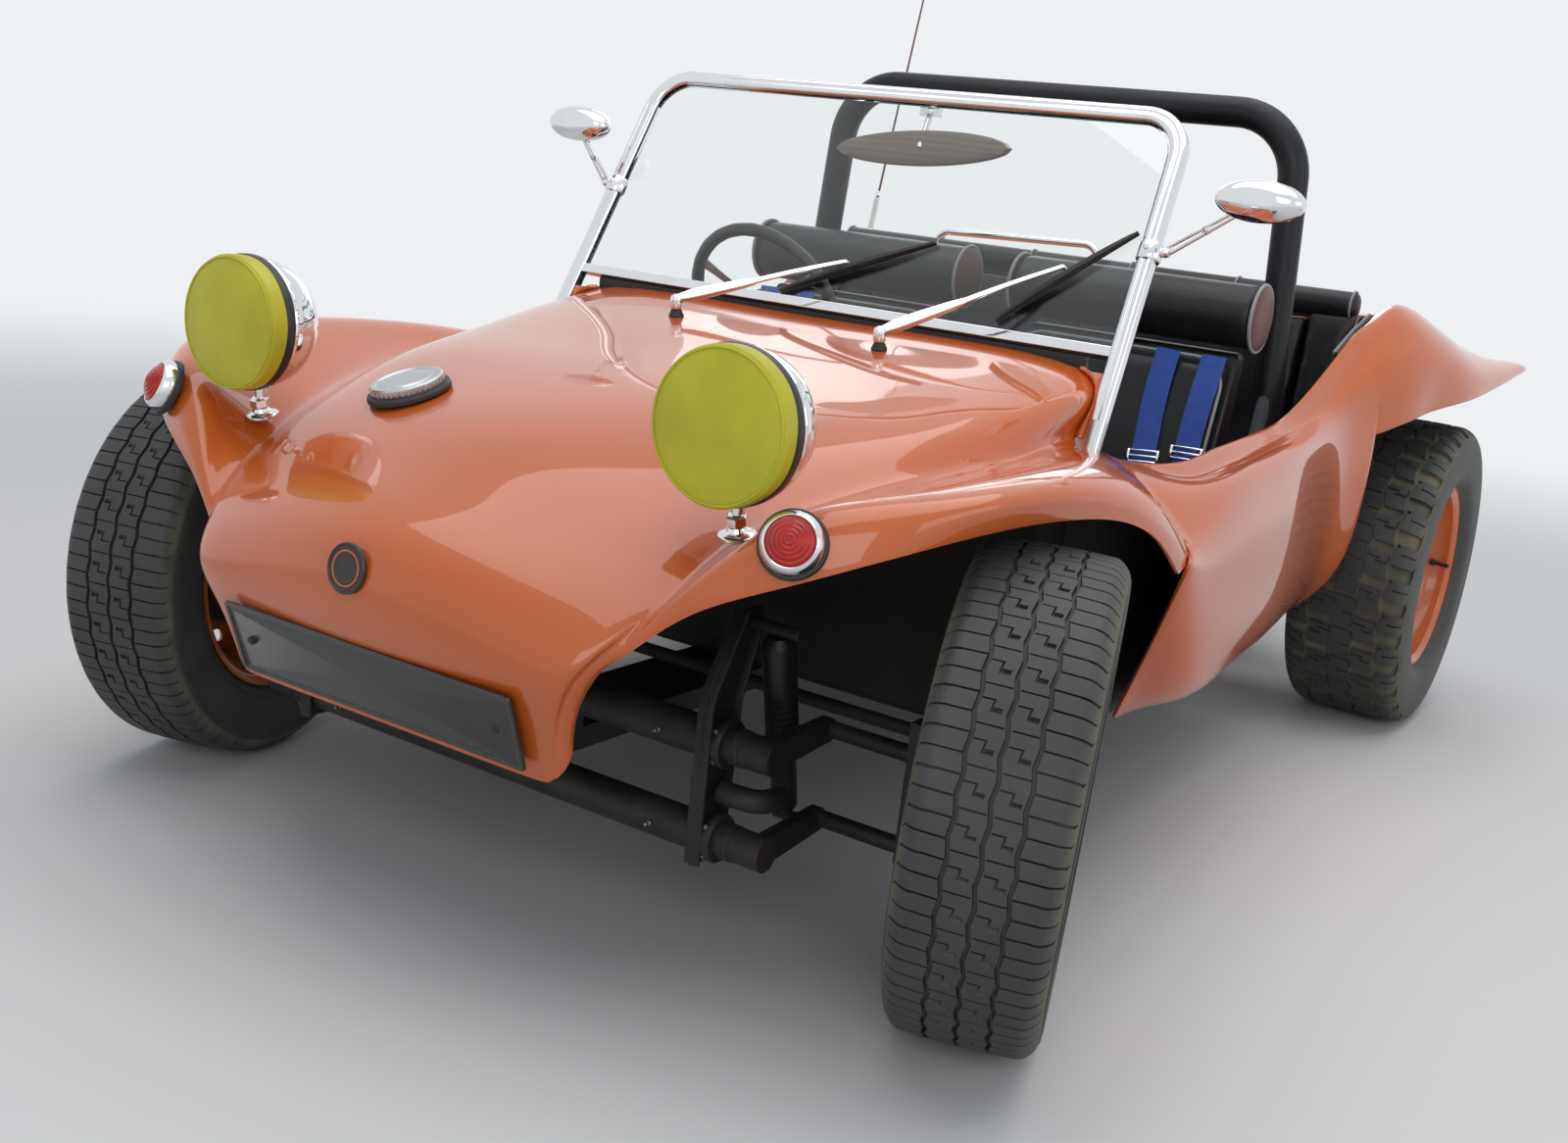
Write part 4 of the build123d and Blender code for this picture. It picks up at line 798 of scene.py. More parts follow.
# %% Rear tub, deck and rear wings
# Columns: centre of the deck (x, z), then deck edge, inner rim, crest, shoulder, lip (x, y, z).
rear_table = [
    (-1568, 846, -1568, 560, 846, -1568, 641, 846, -1584, 684, 836, -1602, 733, 776, -1606, 738, 690),
    (-1650, 890, -1650, 560, 890, -1650, 649, 890, -1658, 690, 893, -1685, 765, 820, -1695, 776, 718),
    (-1745, 915, -1745, 560, 915, -1745, 655, 925, -1750, 697, 943, -1788, 787, 850, -1796, 795, 738),
    (-1870, 908, -1870, 556, 908, -1870, 645, 930, -1872, 706, 940, -1920, 812, 846, -1944, 838, 760),
    (-2055, 880, -2055, 545, 872, -2055, 620, 872, -2055, 732, 890, -2085, 835, 820, -2100, 851, 777),
    (-2250, 830, -2250, 560, 770, -2250, 612, 822, -2250, 752, 850, -2260, 845, 818, -2272, 858, 795),
    (-2430, 800, -2428, 575, 752, -2426, 622, 796, -2424, 766, 828, -2438, 850, 827, -2450, 861, 812),
]
deck_front_row, deck_rear_row = 2, 4


def joined_to_side(half, side, rows):
    """The left half of the rear sheet, bent over its first rows onto the end of the cockpit side.

    From the inner rim to the shoulder the lines of both sheets meet one to one. From the
    shoulder to the lip the rear's line takes the upper quarter of the side's next stretch.
    """
    place = np.concatenate([np.arange(fine, 3 * fine), 3 * fine + np.arange(fine + 1) / 4])
    end = np.stack([np.interp(place, np.arange(side.shape[1]), side[-1, :, k]) for k in range(3)], -1)
    shift = np.zeros_like(half[0])
    shift[2 * fine:] = end - half[0, 2 * fine:]
    return bent(half, shift, rows)


rear_half = smooth_sheet(both_sides(body_rows(rear_table)))[:, middle_column:]
rear_sheet = both_sides(joined_to_side(rear_half, left_side, 14))
row_number = np.arange(rear_sheet.shape[0] - 1)[:, None]
from_middle = np.abs(np.arange(rear_sheet.shape[1] - 1)[None, :] + 0.5 - middle_column)
opened = (row_number < deck_front_row * fine) & (from_middle < 2 * fine)
opened |= (row_number >= deck_rear_row * fine) & (from_middle < fine)
rear_points, rear_faces = grid(rear_sheet)

# %% The shell: all sheets in one, with fills beside the windscreen's posts
corner_fills = []
for side in (-1, 1):
    edge = front_sheet[-1, middle_column + side * fine:middle_column + 2 * side * fine + side:side]
    post_top, post_foot = at(-578, side * 541, 822), at(-532.5, side * 546, 722.5)
    outer_edge = post_top + np.linspace(0, 1, len(edge))[:, None] * (post_foot - post_top)
    rows = [edge + t * (outer_edge - edge) + forward * 10 * mm * math.sin(math.pi * t)
            for t in np.linspace(0, 1, 9)]
    corner_fills.append(grid(np.stack(rows[::side])))
shell = make_piece("body_shell", [
    grid(front_sheet), grid(left_side), grid(left_side[:, ::-1] * mirrored),
    (rear_points, rear_faces[~opened.ravel()]), *corner_fills,
], "orange_gloss", ("front_body", "side_panels", "rear_body"), sharp=60, closed=False)
shell.data.materials.append(looks["under_coat"])
modify(shell, "SOLIDIFY", thickness=6 * mm, offset=-1.0, use_even_offset=False, material_offset=1,
       material_offset_rim=0)
bevelled(shell, 1.8, 2, 50)

# %% [markdown]
# ## Tyres
#
# A tread is a pattern of grooves cut into a belt of rubber. Each groove here is a rectangle on
# the unrolled tread: from one place to another round one pitch of the pattern, and from one
# place to another across it. The rows and columns of the grid are put exactly at the edges of
# those rectangles, a hair apart, so that every groove gets a steep wall from few faces. The
# whole pattern is then bent sideways by a zigzag, and the side walls are a smooth curve.

# %% Work out a tyre as a grid
groove_wall = 0.5 * mm
bead_radius = 196.3 * mm


def edges_of(starts, ends, reach):
    """Sorted places of the groove edges, each as a pair one wall's width apart."""
    places = np.concatenate([[0.0, reach], starts - groove_wall, starts, ends, ends + groove_wall])
    places = np.unique(np.round(places, 7))
    return places[(places >= 0) & (places <= reach)]


def tread_depth(shares, across, grooves):
    """Depth at each grid point: the deepest of the grooves whose rectangle holds it."""
    hair = 1e-5
    depth = np.zeros((len(shares), len(across)))
    for start, end, low, high, deep in grooves:
        inside = (shares >= start - hair)[:, None] & (shares <= end + hair)[:, None]
        inside = inside & (across >= low - hair)[None] & (across <= high + hair)[None]
        depth = np.maximum(depth, np.where(inside, deep, 0))
    return depth


def tyre_form(joint, radius, half_width, bead_half, pitches, zigzag, lean, groove_soil, grooves):
    """A tyre: tread with grooves, round shoulders, side walls, beads and inner lining.

    Grooves are (start, end) in shares of a pitch, (low, high) across and a depth. The point at
    angle t and place a across goes to centre + a axle + r(a) spoke(t), less the depth. With
    x = a over the tread's half width, r(a) = radius - 4 x^2.2 - 12 ((x - 0.8) / 0.2)^2 mm.
    Returns the form, how dusty each point is, and the pairs of neighbours across the tyre whose
    edge can go, because the depth is the same before, on and behind it.
    """
    grooves = np.array(grooves, float) * (1, 1, mm, mm, mm)
    radius, half_width, bead_half, zigzag = radius * mm, half_width * mm, bead_half * mm, zigzag * mm
    centre, axle = np.array(joint["pos_m"]), unit(joint["axis"])
    reach = 2 * math.pi * radius / pitches
    along = edges_of(grooves[:, 0] * reach, grooves[:, 1] * reach, reach)[:-1]
    shares = along / reach
    tread_half = half_width * 0.93
    across = edges_of(grooves[:, 2] + half_width, grooves[:, 3] + half_width, 2 * half_width) - half_width
    bow = tread_half * np.array([0.8, 0.85, 0.9, 0.95, 1.0])
    across = np.unique(np.round(np.concatenate([across[np.abs(across) < tread_half], -bow, bow]), 7))
    height = radius - bead_radius
    wall = curve_through([
        (half_width * 0.95, radius - 20 * mm), (half_width * 0.985, radius - 32 * mm),
        (half_width, bead_radius + height * 0.5), (half_width * 0.965, bead_radius + height * 0.24),
        (bead_half + 3 * mm, bead_radius + 13 * mm), (bead_half + 1 * mm, bead_radius + 5 * mm),
    ], 2)
    inner = [(bead_half - 4 * mm, bead_radius), (bead_half * 0.86, bead_radius + 2 * mm),
             (half_width * 0.86, bead_radius + height * 0.45), (half_width * 0.7, radius - 22 * mm)]
    flank = np.vstack([wall, inner])
    places = np.concatenate([-flank[::-1, 0], across, flank[:, 0]])
    outward = np.abs(across / tread_half)
    tread_radius = radius - 4 * mm * outward ** 2.2 - 12 * mm * np.clip((outward - 0.8) / 0.2, 0, 1) ** 2
    radii = np.concatenate([flank[::-1, 1], tread_radius, flank[:, 1]])
    tread = slice(len(flank), len(flank) + len(across))
    depth, bend, slant = np.zeros((len(along), len(places))), np.zeros(len(places)), np.zeros(len(places))
    depth[:, tread] = tread_depth(shares, across, grooves)
    bend[tread] = np.clip(1.6 - 1.6 * outward, 0, 1)
    slant[tread] = lean * across / radius
    wave = zigzag * (2 * np.abs(2 * (shares - np.floor(shares + 0.5))) - 1)
    flat = (np.roll(depth, 1, 0) == depth) & (np.roll(depth, -1, 0) == depth)
    flat[[np.argmin(np.abs(shares - part)) for part in (0, 0.25, 0.5, 0.75)]] = False
    flat = np.tile(flat & np.roll(flat, -1, 1), (pitches, 1))
    number = np.arange(flat.size).reshape(flat.shape)
    spare = np.stack([number[flat], np.roll(number, -1, 1)[flat]], -1)
    depth = np.tile(depth, (pitches, 1))
    turn = (np.arange(pitches)[:, None] * reach + along[None]).reshape(-1) / radius
    place = places[None] + np.tile(wave, pitches)[:, None] * bend[None]
    spokes = spokes_of(turn[:, None] + slant[None], *beside(axle))
    points = centre + place[..., None] * axle + (radii[None] - depth)[..., None] * spokes
    drop = radius - radii
    shoulder = np.exp(-((drop - 19 * mm) / (9 * mm)) ** 2)
    soil = 0.6 * shoulder[None] + groove_soil * depth / (9 * mm) + 0.16 * (drop > 20 * mm)[None]
    soil = np.clip(soil, 0, 1)
    return grid(points, around=True, along=True), soil.reshape(-1), spare


# %% Front tyres with worn road ribs, rear tyres with chunky blocks in staggered rows
# Grooves: start and end in one pitch, low and high across (mm), depth (mm).
front_grooves = [
    (0.00, 1.00, -42, -37, 8), (0.00, 1.00, -2.5, 2.5, 8), (0.00, 1.00, 37, 42, 8),
    (0.04, 0.075, 42, 93, 6), (0.54, 0.575, 42, 93, 6), (0.03, 0.095, 72, 93, 6),
    (0.04, 0.075, -93, -42, 6), (0.54, 0.575, -93, -42, 6), (0.53, 0.595, -93, -72, 6),
    (0.28, 0.305, 5, 37, 5), (0.28, 0.305, -37, -5, 5),
    (0.66, 0.685, 5, 21, 5), (0.86, 0.885, 20, 33, 5), (0.66, 0.885, 20, 21.6, 5),
    (0.66, 0.685, -37, -21, 5), (0.86, 0.885, -22, -9, 5), (0.66, 0.885, -22, -20.4, 5),
]
rear_grooves = [
    (0.00, 1.00, -78, -70, 11), (0.00, 1.00, -27, -21, 10), (0.00, 1.00, 21, 27, 10),
    (0.00, 1.00, 70, 78, 11),
    (0.00, 0.36, 78, 121, 11), (0.50, 0.86, -121, -78, 11),
    (0.46, 0.74, 27, 70, 11), (0.00, 0.28, -70, -27, 11),
    (0.10, 0.24, -21, 21, 10), (0.62, 0.72, -4, 21, 7),
    (0.62, 0.66, 92, 121, 7), (0.40, 0.46, 78, 86, 9), (0.12, 0.16, -121, -92, 7), (0.90, 0.96, -86, -78, 9),
    (0.00, 0.08, 48, 70, 8), (0.54, 0.62, -70, -48, 8), (0.88, 0.92, 27, 54, 6), (0.40, 0.44, -54, -27, 6),
]
tyre_table = {
    # radius, half width, half width at the bead, pitches, zigzag, lean, dust in a groove, grooves
    "front": (326, 100, 79, 42, 2.2, 0.05, 0.12, front_grooves),
    "rear": (346, 130, 100, 28, 5, 0.14, 0.85, rear_grooves),
}
moulded_rings = ((97.6, 298), (98.2, 293), (98.7, 288), (98.4, 226))
for end, numbers in tyre_table.items():
    for corner in ("left", "right"):
        joint, body = joints[f"spin_{end}_{corner}"], f"wheel_{end[0]}{corner[0]}"
        form, soil, spare = tyre_form(joint, *numbers)
        make_piece(f"{end}_tyre_{corner}", form, "tyre_rubber", f"tyre_{end}_{corner}", sharp=35, body=body,
                   soil=soil, spare=spare)
        if end == "rear":
            continue
        rings = [
            turned(np.array([(0, -0.9), (0.9, 0), (0, 0.9), (-0.9, 0)]) + ring, joint["pos_m"],
                   unit(joint["axis"]) * side, 96, closed=True)
            for side in (-1, 1) for ring in moulded_rings
        ]
        make_piece(f"front_tyre_ribs_{corner}", rings, "rubber", slot="tyre_rubber", sharp=60, body=body)

# %% [markdown]
# ## Wheels
#
# The wheels are pressed steel, painted orange: a rolled rim with a well, and a dished disc with
# eight windows near its edge. Both are profiles turned about the axle. The windows are cut with
# a Boolean by eight rounded prisms, as a press would punch them. Four bolts and a cap hold and
# close the middle, and a rubber valve stands out of the rim.

# %% Rim, disc and windows
def thick_line(line, wall):
    """A closed profile round a line: the line itself, and back along it moved square by wall."""
    line = np.asarray(line, float)
    ahead = np.gradient(line, axis=0)
    ahead /= np.linalg.norm(ahead, axis=1)[:, None]
    back = line + wall * np.stack([-ahead[:, 1], ahead[:, 0]], -1)
    return np.concatenate([line, back[::-1]])


def slot_outline(centre_radius, angle, length, height, steps=6):
    """A rounded slot across a spoke direction: two half circles joined by straight sides."""
    turn = np.linspace(-math.pi / 2, math.pi / 2, steps)
    right = np.stack([length / 2 + height / 2 * np.cos(turn), height / 2 * np.sin(turn)], -1)
    outline = np.concatenate([right, -right])
    x, y = centre_radius + outline[:, 1], outline[:, 0]
    cosine, sine = math.cos(angle), math.sin(angle)
    return np.stack([x * cosine - y * sine, x * sine + y * cosine], -1) * mm


def cut(piece, form):
    """Take a closed form out of a piece with an exact Boolean, applied at once."""
    cutter = linked("cutter", mesh_of("cutter", form))
    modifier = modify(piece, "BOOLEAN", operation="DIFFERENCE", object=cutter, solver="EXACT")
    finished = bpy.data.meshes.new_from_object(evaluated(piece))
    piece.modifiers.remove(modifier)
    piece.data = finished
    bpy.data.objects.remove(cutter)
    finished.set_sharp_from_angle(angle=math.radians(35))


def wheel_pieces(corner, half, disc, edge):
    """The rim with its disc, and the bolts, cap and valve of one wheel."""
    centre, axle = np.array(joints[f"spin_{corner}"]["pos_m"]), unit(joints[f"spin_{corner}"]["axis"])
    first, second = beside(axle)
    node, body, radius = f"rim_{corner}", f"wheel_{corner[0]}{corner.split('_')[1][0]}", 196
    barrel = [
        (-half - 7, radius + 12), (-half - 3, radius + 11), (-half - 0.5, radius + 4),
        (-half + 4, radius - 1), (-half + 22, radius - 1), (-half + 30, radius - 6),
        (-half + 38, radius - 15), (half - 58, radius - 15),
        (half - 48, radius - 8), (half - 38, radius - 1), (half - 4, radius - 1), (half + 0.5, radius + 4),
        (half + 3, radius + 11), (half + 7, radius + 12),
    ]
    dish = [
        (disc + 2, 36), (disc, 46), (disc - 4, 60), (disc - 5, 84), (disc + 4, 98), (disc + 16, 116),
        (disc + 22, 132),
        (disc + 20, 150), (disc + 12, 168), (disc + 4, edge - 4), (disc - 8, edge),
    ]
    rim = turned(thick_line(barrel, -5), centre, axle, 96, closed=True)
    make_piece(f"wheel_rim_{corner}", rim, "orange_steel", node, body=body)
    pressing = turned(thick_line(curve_through(dish, 1), -4.5), centre, axle, 96, closed=True)
    face = make_piece(f"wheel_disc_{corner}", pressing, "orange_steel", node, body=body)
    windows = []
    for k in range(8):
        outline = slot_outline(150, 2 * math.pi * k / 8, 26, 20)
        ring = centre + axle * (disc - 30) * mm + outline @ np.stack([first, second])
        windows.append(slab(ring, axle * 80 * mm))
    cut(face, together(*windows))
    head = [(0, 0), (0, 13), (3, 13), (3.1, 9), (11, 9), (13, 7), (13, 0)]
    bolts = [turned(head, centre + spoke * 65 * mm + axle * (disc - 5) * mm, axle, 6)
             for spoke in spokes_of(math.pi / 4 + circle(4), first, second)]
    make_piece(f"wheel_bolts_{corner}", bolts, "steel", sharp=30, body=body)
    dome = [(disc - 8, 0), (disc - 8, 37), (disc + 2, 37), (disc + 14, 34), (disc + 20, 29),
            (disc + 23, 18), (disc + 23.5, 0)]
    make_piece(f"hub_cap_{corner}", turned(dome, centre, axle, 48), "chrome", sharp=30, body=body)
    drum = [(-42, 0), (-42, 114), (-38, 118), (disc - 22, 116), (disc - 14, 108), (disc - 9.8, 60),
            (disc - 9.8, 0)]
    make_piece(f"brake_drum_{corner}", turned(drum, centre, axle, 64), "iron", sharp=30, body=body)
    stem = centre + first * (radius - 12) * mm + axle * (half - 36) * mm
    valve = [(0, 0), (0, 7.5), (7, 7), (10, 4.5), (30, 4), (31, 5), (41, 5), (42, 4), (42, 0)]
    form = turned(valve, stem, axle - 0.25 * first, 16)
    make_piece(f"valve_{corner}", form, "rubber", sharp=30, body=body)


wheel_table = {
    # half width, place of the disc, radius of the disc's edge
    "front_left": (79, 34, 181), "front_right": (79, 34, 181),
    "rear_left": (100, 30, 180), "rear_right": (100, 30, 180),
}
for corner, sizes in wheel_table.items():
    wheel_pieces(corner, *sizes)

# %% [markdown]
# ## Inside walls of the body
#
# The body's CAD nodes also hold the firewall, the foot wells and the rear tub. Their shapes are
# flat, so they are flat outlines with a thickness and small bevels. Where a wall meets the
# shell, its height is read off the smooth sheet itself, by sending a ray down onto it.

# %% Find points on a sheet
ray_start = 2000


def tree_of(sheet):
    """A search tree over a sheet's faces, for rays."""
    points, faces = grid(sheet)
    return BVHTree.FromPolygons(points.tolist(), faces.tolist())


def height_at(tree, x, y):
    """The height at which a ray straight down meets a sheet."""
    return tree.ray_cast(Vector(at(x, y, ray_start)), Vector(down))[0].z


def highest(tree, starts, out, far=0.3):
    """How far out a sheet reaches in front of any of some points, seen against out."""
    reach = []
    for start in starts:
        hit = tree.ray_cast(Vector(start + far * out), Vector(-out))[0]
        if hit is not None:
            reach.append(np.dot(np.array(hit) - start, out))
    return max(reach)


def seated(tree, start, out, radius, gap=0.1):
    """Where a flat round foot facing out comes to rest on a sheet: its highest meeting point."""
    rim = start + radius * mm * spokes_of(np.linspace(0, 2 * math.pi, 13)[1:], *beside(out))
    return start + out * (highest(tree, [start, *rim], out) + gap * mm)


front_tree, rear_tree = tree_of(front_sheet), tree_of(rear_sheet)

# %% Firewall, foot wells, tub and deck panel
pan_top, tunnel_half = 256, 75
wall_thick, under_skin = 5 * mm, 8 * mm
firewall_x, footwell_y, footwell_end = -415, 538, -527
edge = [at(firewall_x, y, 0) + upward * (height_at(front_tree, firewall_x, y) - under_skin)
        for y in np.linspace(-footwell_y, footwell_y, 25)]
walls = [slab(edge + [at(firewall_x, y, pan_top) for y in (footwell_y, -footwell_y)], -wall_thick * forward)]
for side in (-1, 1):
    y = side * footwell_y
    # Each top is read a little outside of the wall, and no farther back than the sheet reaches.
    tops = [height_at(front_tree, x, side * 552) - under_skin for x in np.linspace(-419, -505, 7)]
    edge = [at(x, y, 0) + upward * top for x, top in zip(np.linspace(-419, footwell_end, 7), tops)]
    feet = [at(footwell_end, y, pan_top), at(-419, y, pan_top)]
    walls.append(slab(edge + feet, -side * wall_thick * left))
bevelled(make_piece("firewall_and_footwells", walls, "under_coat", "front_body", "orange_gloss"), 1.5)

rear_wall_x, riser_x, shelf_z = -1745, -1600, 390
tub_rows = [
    # x, foot (y, z) and rim (y, z) of the side wall
    (-1568, 602, 262, 638, 845), (-1650, 590, 330, 646, 889), (-1743, 566, 386, 651, 922),
]
walls = []
for side in (-1, 1):
    feet = np.array([at(x, side * y, z) for x, y, z, _, _ in tub_rows])
    rims = np.array([at(x, side * y, z) for x, _, _, y, z in tub_rows])
    sheet = np.stack([feet + (rims - feet) * t for t in np.linspace(0, 1, 9)], 1)
    ring = np.concatenate([sheet, (sheet - side * wall_thick * left)[:, ::-1]], axis=1)
    walls.append(grid(ring, around=True))
    walls += [grid(np.stack([ring[end, :9], ring[end, :8:-1]])) for end in (0, -1)]
make_piece("tub_sides", walls, "black_vinyl", "rear_body")
bulkhead = [(-568, 386), (568, 386), (636, 918), (560, 906), (0, 907), (-560, 906), (-636, 918)]
walls = [slab([at(rear_wall_x, y, z) for y, z in bulkhead], -wall_thick * forward)]
walls.append(box_form(at(rear_wall_x - 5, -568, shelf_z - 6), at(riser_x, 568, shelf_z)))
for side in (-1, 1):
    walls.append(box_form(at(riser_x - 5, side * (tunnel_half + 0.3), pan_top),
                          at(riser_x, side * 590, shelf_z)))
    walls.append(box_form(at(-1835, side * 458, 597), at(rear_wall_x - 4, side * 498, 609)))
walls.append(box_form(at(-2058, -300, 772), at(-2052, 300, 876)))
bevelled(make_piece("rear_tub_and_bulkhead", walls, "orange_gloss", "rear_body"), 1.5)

# %% Piping where the black lining meets the body
piping = []
for side in (-1, 1):
    line = rounded_path([at(x, side * (y - 8), z - 2) for x, _, _, y, z in tub_rows], 60, 10)
    piping.append(carried(line, round_section(4, 12)))
make_piece("tub_piping", piping, "grey_piping", "rear_body", "black_vinyl", 60)

# %% [markdown]
# ## Lamps
#
# The driving lamps stand on stalks above the wings. Each is a chrome bowl, with a soft vinyl
# cover stretched over its front: a padded disc, a sewn edge, a slack side band and a black
# elastic hem. A true turned band would look like metal, so the band and the disc are pushed in
# and out by a few slow waves.

# %% Driving lamps with their covers
lamp_x, lamp_y, lamp_z = 262, 431, 775
bowl = curve_through([(8, 94), (6, 95.5), (-4, 95), (-14, 93), (-34, 86), (-56, 70), (-74, 46), (-84, 22),
                      (-88, 0.01)], 2)
bowl_rim = [(2, 90), (2, 96), (5, 97.3), (8, 96), (8, 90)]
stalk = [(-2, 0), (-2, 22), (0, 24), (3, 24), (5, 22), (7, 13), (12, 10.5)]
stalk_nut = [(-8, 0), (-8, 11), (-5, 14), (5, 14), (8, 11), (8, 0)]
cover_side = [(8.6, 94), (8.6, 96.5), (13, 97.2), (16, 96.2), (20, 96.6), (34, 97.4), (43, 97.2),
              (47, 95.6), (48.5, 91.5)]
cover_face = curve_through([(48.5, 91.5), (51.2, 84), (54.0, 64), (56.4, 36), (57.4, 0.01)], 2)
cover_hem = [(8.4, 92), (8.4, 97), (11, 98.2), (20, 98.2), (23.2, 97.4), (23.2, 92)]
stalk_up = unit([0.25, 0, 0.97])
front_sides = ((1, "left"), (-1, "right"))


def wavy(form, centre, depth, waves, seed):
    """Points pushed away from a lengthwise axle by a sum of slow waves round it."""
    points, faces = form
    random = np.random.default_rng(seed)
    first, second = beside(forward)
    offset = points - centre
    a, b, along = offset @ first, offset @ second, offset @ forward
    angle, radius = np.arctan2(b, a), np.hypot(a, b)
    push = np.zeros(len(points))
    for k in range(2, 2 + waves):
        phase = random.uniform(0, 2 * math.pi)
        push += depth * mm / waves * np.sin(k * angle + phase + 40 * along * random.uniform(-1, 1))
    scale = push * np.minimum(1, radius / (90 * mm)) / np.maximum(radius, 1e-6)
    return points + scale[:, None] * (a[:, None] * first + b[:, None] * second), faces


for side, corner in front_sides:
    centre = at(lamp_x, side * lamp_y, lamp_z)
    foot = seated(front_tree, centre + np.array([-14, 0, -120]) * mm, stalk_up, 24)
    stalk_top = centre + np.array([-14, 0, -88]) * mm
    make_piece(f"lamp_bowl_{corner}", [
        turned(bowl_rim, centre, forward, 72, closed=True), turned(bowl, centre, forward, 72),
        turned(stalk, foot + 2 * mm * stalk_up, stalk_up, 32),
        tube(foot + 4 * mm * stalk_up, stalk_top, round_section(9, 24), forward, count=6),
        turned(stalk_nut, foot + 22 * mm * stalk_up, stalk_up, 6),
    ], "chrome", "headlamps", sharp=35)
    make_piece(f"lamp_cover_{corner}", [
        wavy(turned(cover_side, centre, forward, 96), centre, 1.4, 5, 3 + side),
        wavy(turned(cover_face, centre, forward, 96), centre, 0.5, 4, 3 + side),
    ], "cover_yellow", "lamp_covers", sharp=80, closed=False)
    seam = centre + forward * 49 * mm + 92.6 * mm * spokes_of(circle(120), left, upward)
    make_piece(f"lamp_cover_seam_{corner}", carried(seam, round_section(1.7, 10), forward, loop=True),
               "cover_yellow", "lamp_covers", sharp=60)
    hem = turned(cover_hem, centre, forward, 96, closed=True)
    make_piece(f"lamp_cover_hem_{corner}", wavy(hem, centre, 0.3, 5, 5 + side), "cover_black", "lamp_covers",
               "cover_yellow")

# %% Side lamps: ringed red lens, chrome bezel and black gasket
lens_radius, lens_top, lens_drop, lens_rings = 29.5, 37, 12, 5.5
steps = np.linspace(1, 0, 61)
lens_height = lens_top - lens_drop * steps ** 2 + 0.7 * np.cos(2 * math.pi * lens_rings * steps)
lens = np.stack([lens_height, np.maximum(lens_radius * steps, 0.01)], -1)
lens = np.concatenate([[(20, lens_radius)], lens])
gasket = [(0, 0), (0, 42), (5, 42), (8, 41), (9, 36), (9, 0)]
bezel = [(8, 26), (8, 38), (12, 38.5), (19, 36.8), (24, 33.4), (26, 31.2), (25.4, 29.9), (8, 29.6)]
for side, corner in front_sides:
    out = unit([0.86, side * 0.35, 0.37])
    foot = seated(front_tree, at(298, side * 548, 655), out, 42, 2.5)
    make_piece(f"side_lamp_gasket_{corner}", turned(gasket, foot, out, 64), "rubber", "side_lamps")
    make_piece(f"side_lamp_bezel_{corner}", turned(bezel, foot, out, 64, closed=True), "chrome",
               "side_lamps")
    make_piece(f"side_lamp_lens_{corner}", turned(lens, foot, out, 64), "lens_red", "side_lamps", sharp=80,
               closed=False)

# %% Number plates
plate_tilt = math.radians(21)
plate_out = np.array([math.cos(plate_tilt), 0, -math.sin(plate_tilt)])
plate_up = np.array([math.sin(plate_tilt), 0, math.cos(plate_tilt)])
plate_half, plate_deep, plate_border = 260, 5, 6


def framed_plate(name, centre, across, up, half_high):
    """A blank plate: a raised border with a groove inside it, round a flat field."""
    out = np.cross(across, up)
    rings = []
    for inset, rise in ((0, 0), (0, plate_deep * 0.6), (1.2, plate_deep), (plate_border, plate_deep),
                        (plate_border + 0.8, plate_deep - 1), (plate_border + 2, plate_deep - 1),
                        (plate_border + 3, plate_deep - 0.4)):
        outline = rounded_outline(plate_half - inset, half_high - inset, max(4 - inset / 2, 0.6))
        rings.append(centre + outline @ np.stack([across, up]) + rise * mm * out)
    flat = centre + 0 * rings[0]
    rings = [flat, *rings, flat + (plate_deep - 0.4) * mm * out]
    make_piece(name, grid(np.stack(rings), around=True), "plate_black", "number_plates", sharp=30)


places = [at(410, y, 375) + plate_up * v * mm for y in (-255, -120, 0, 120, 255) for v in (-50, 0, 50)]
plate_foot = at(410, 0, 375) + plate_out * (highest(front_tree, places, plate_out, 0.2) + 1.2 * mm)
rear_plate_at = at(-2058.5, 0, 822.5)
framed_plate("front_plate", plate_foot, left, plate_up, 55.5)
framed_plate("rear_plate", rear_plate_at, -left, upward, 47.5)
bolt_head = [(0, 0), (0, 6.5), (1.6, 6), (2.8, 4), (3.2, 0)]
bolts = [turned(bolt_head, spot + out * 4.4 * mm + left * y * mm, out, 20)
         for spot, out in ((plate_foot, plate_out), (rear_plate_at, -forward)) for y in (-225, 225)]
make_piece("plate_bolts", bolts, "plastic_black", "number_plates", "plate_black")

# %% Nose badge and filler cap
badge_out = unit([0.99, 0, 0.14])
badge_foot = seated(front_tree, at(450, 0, 528), badge_out, 33, 1.2)
badge = [(0, 0), (0, 33), (3.6, 33), (5, 31.5), (5, 30), (3.8, 29), (3.8, 20), (4.4, 19), (4.4, 17.6),
         (3.8, 16.6), (3.6, 0)]
badge_ring = [(3.2, 21), (4.9, 21.5), (5.1, 22.5), (4.9, 23.5), (3.2, 24)]
make_piece("badge", turned(badge, badge_foot, badge_out, 72), "badge_brown", "nose_badge", "badge", 25)
make_piece("badge_ring", turned(badge_ring, badge_foot, badge_out, 72, closed=True), "orange_gloss",
           "nose_badge", "badge")

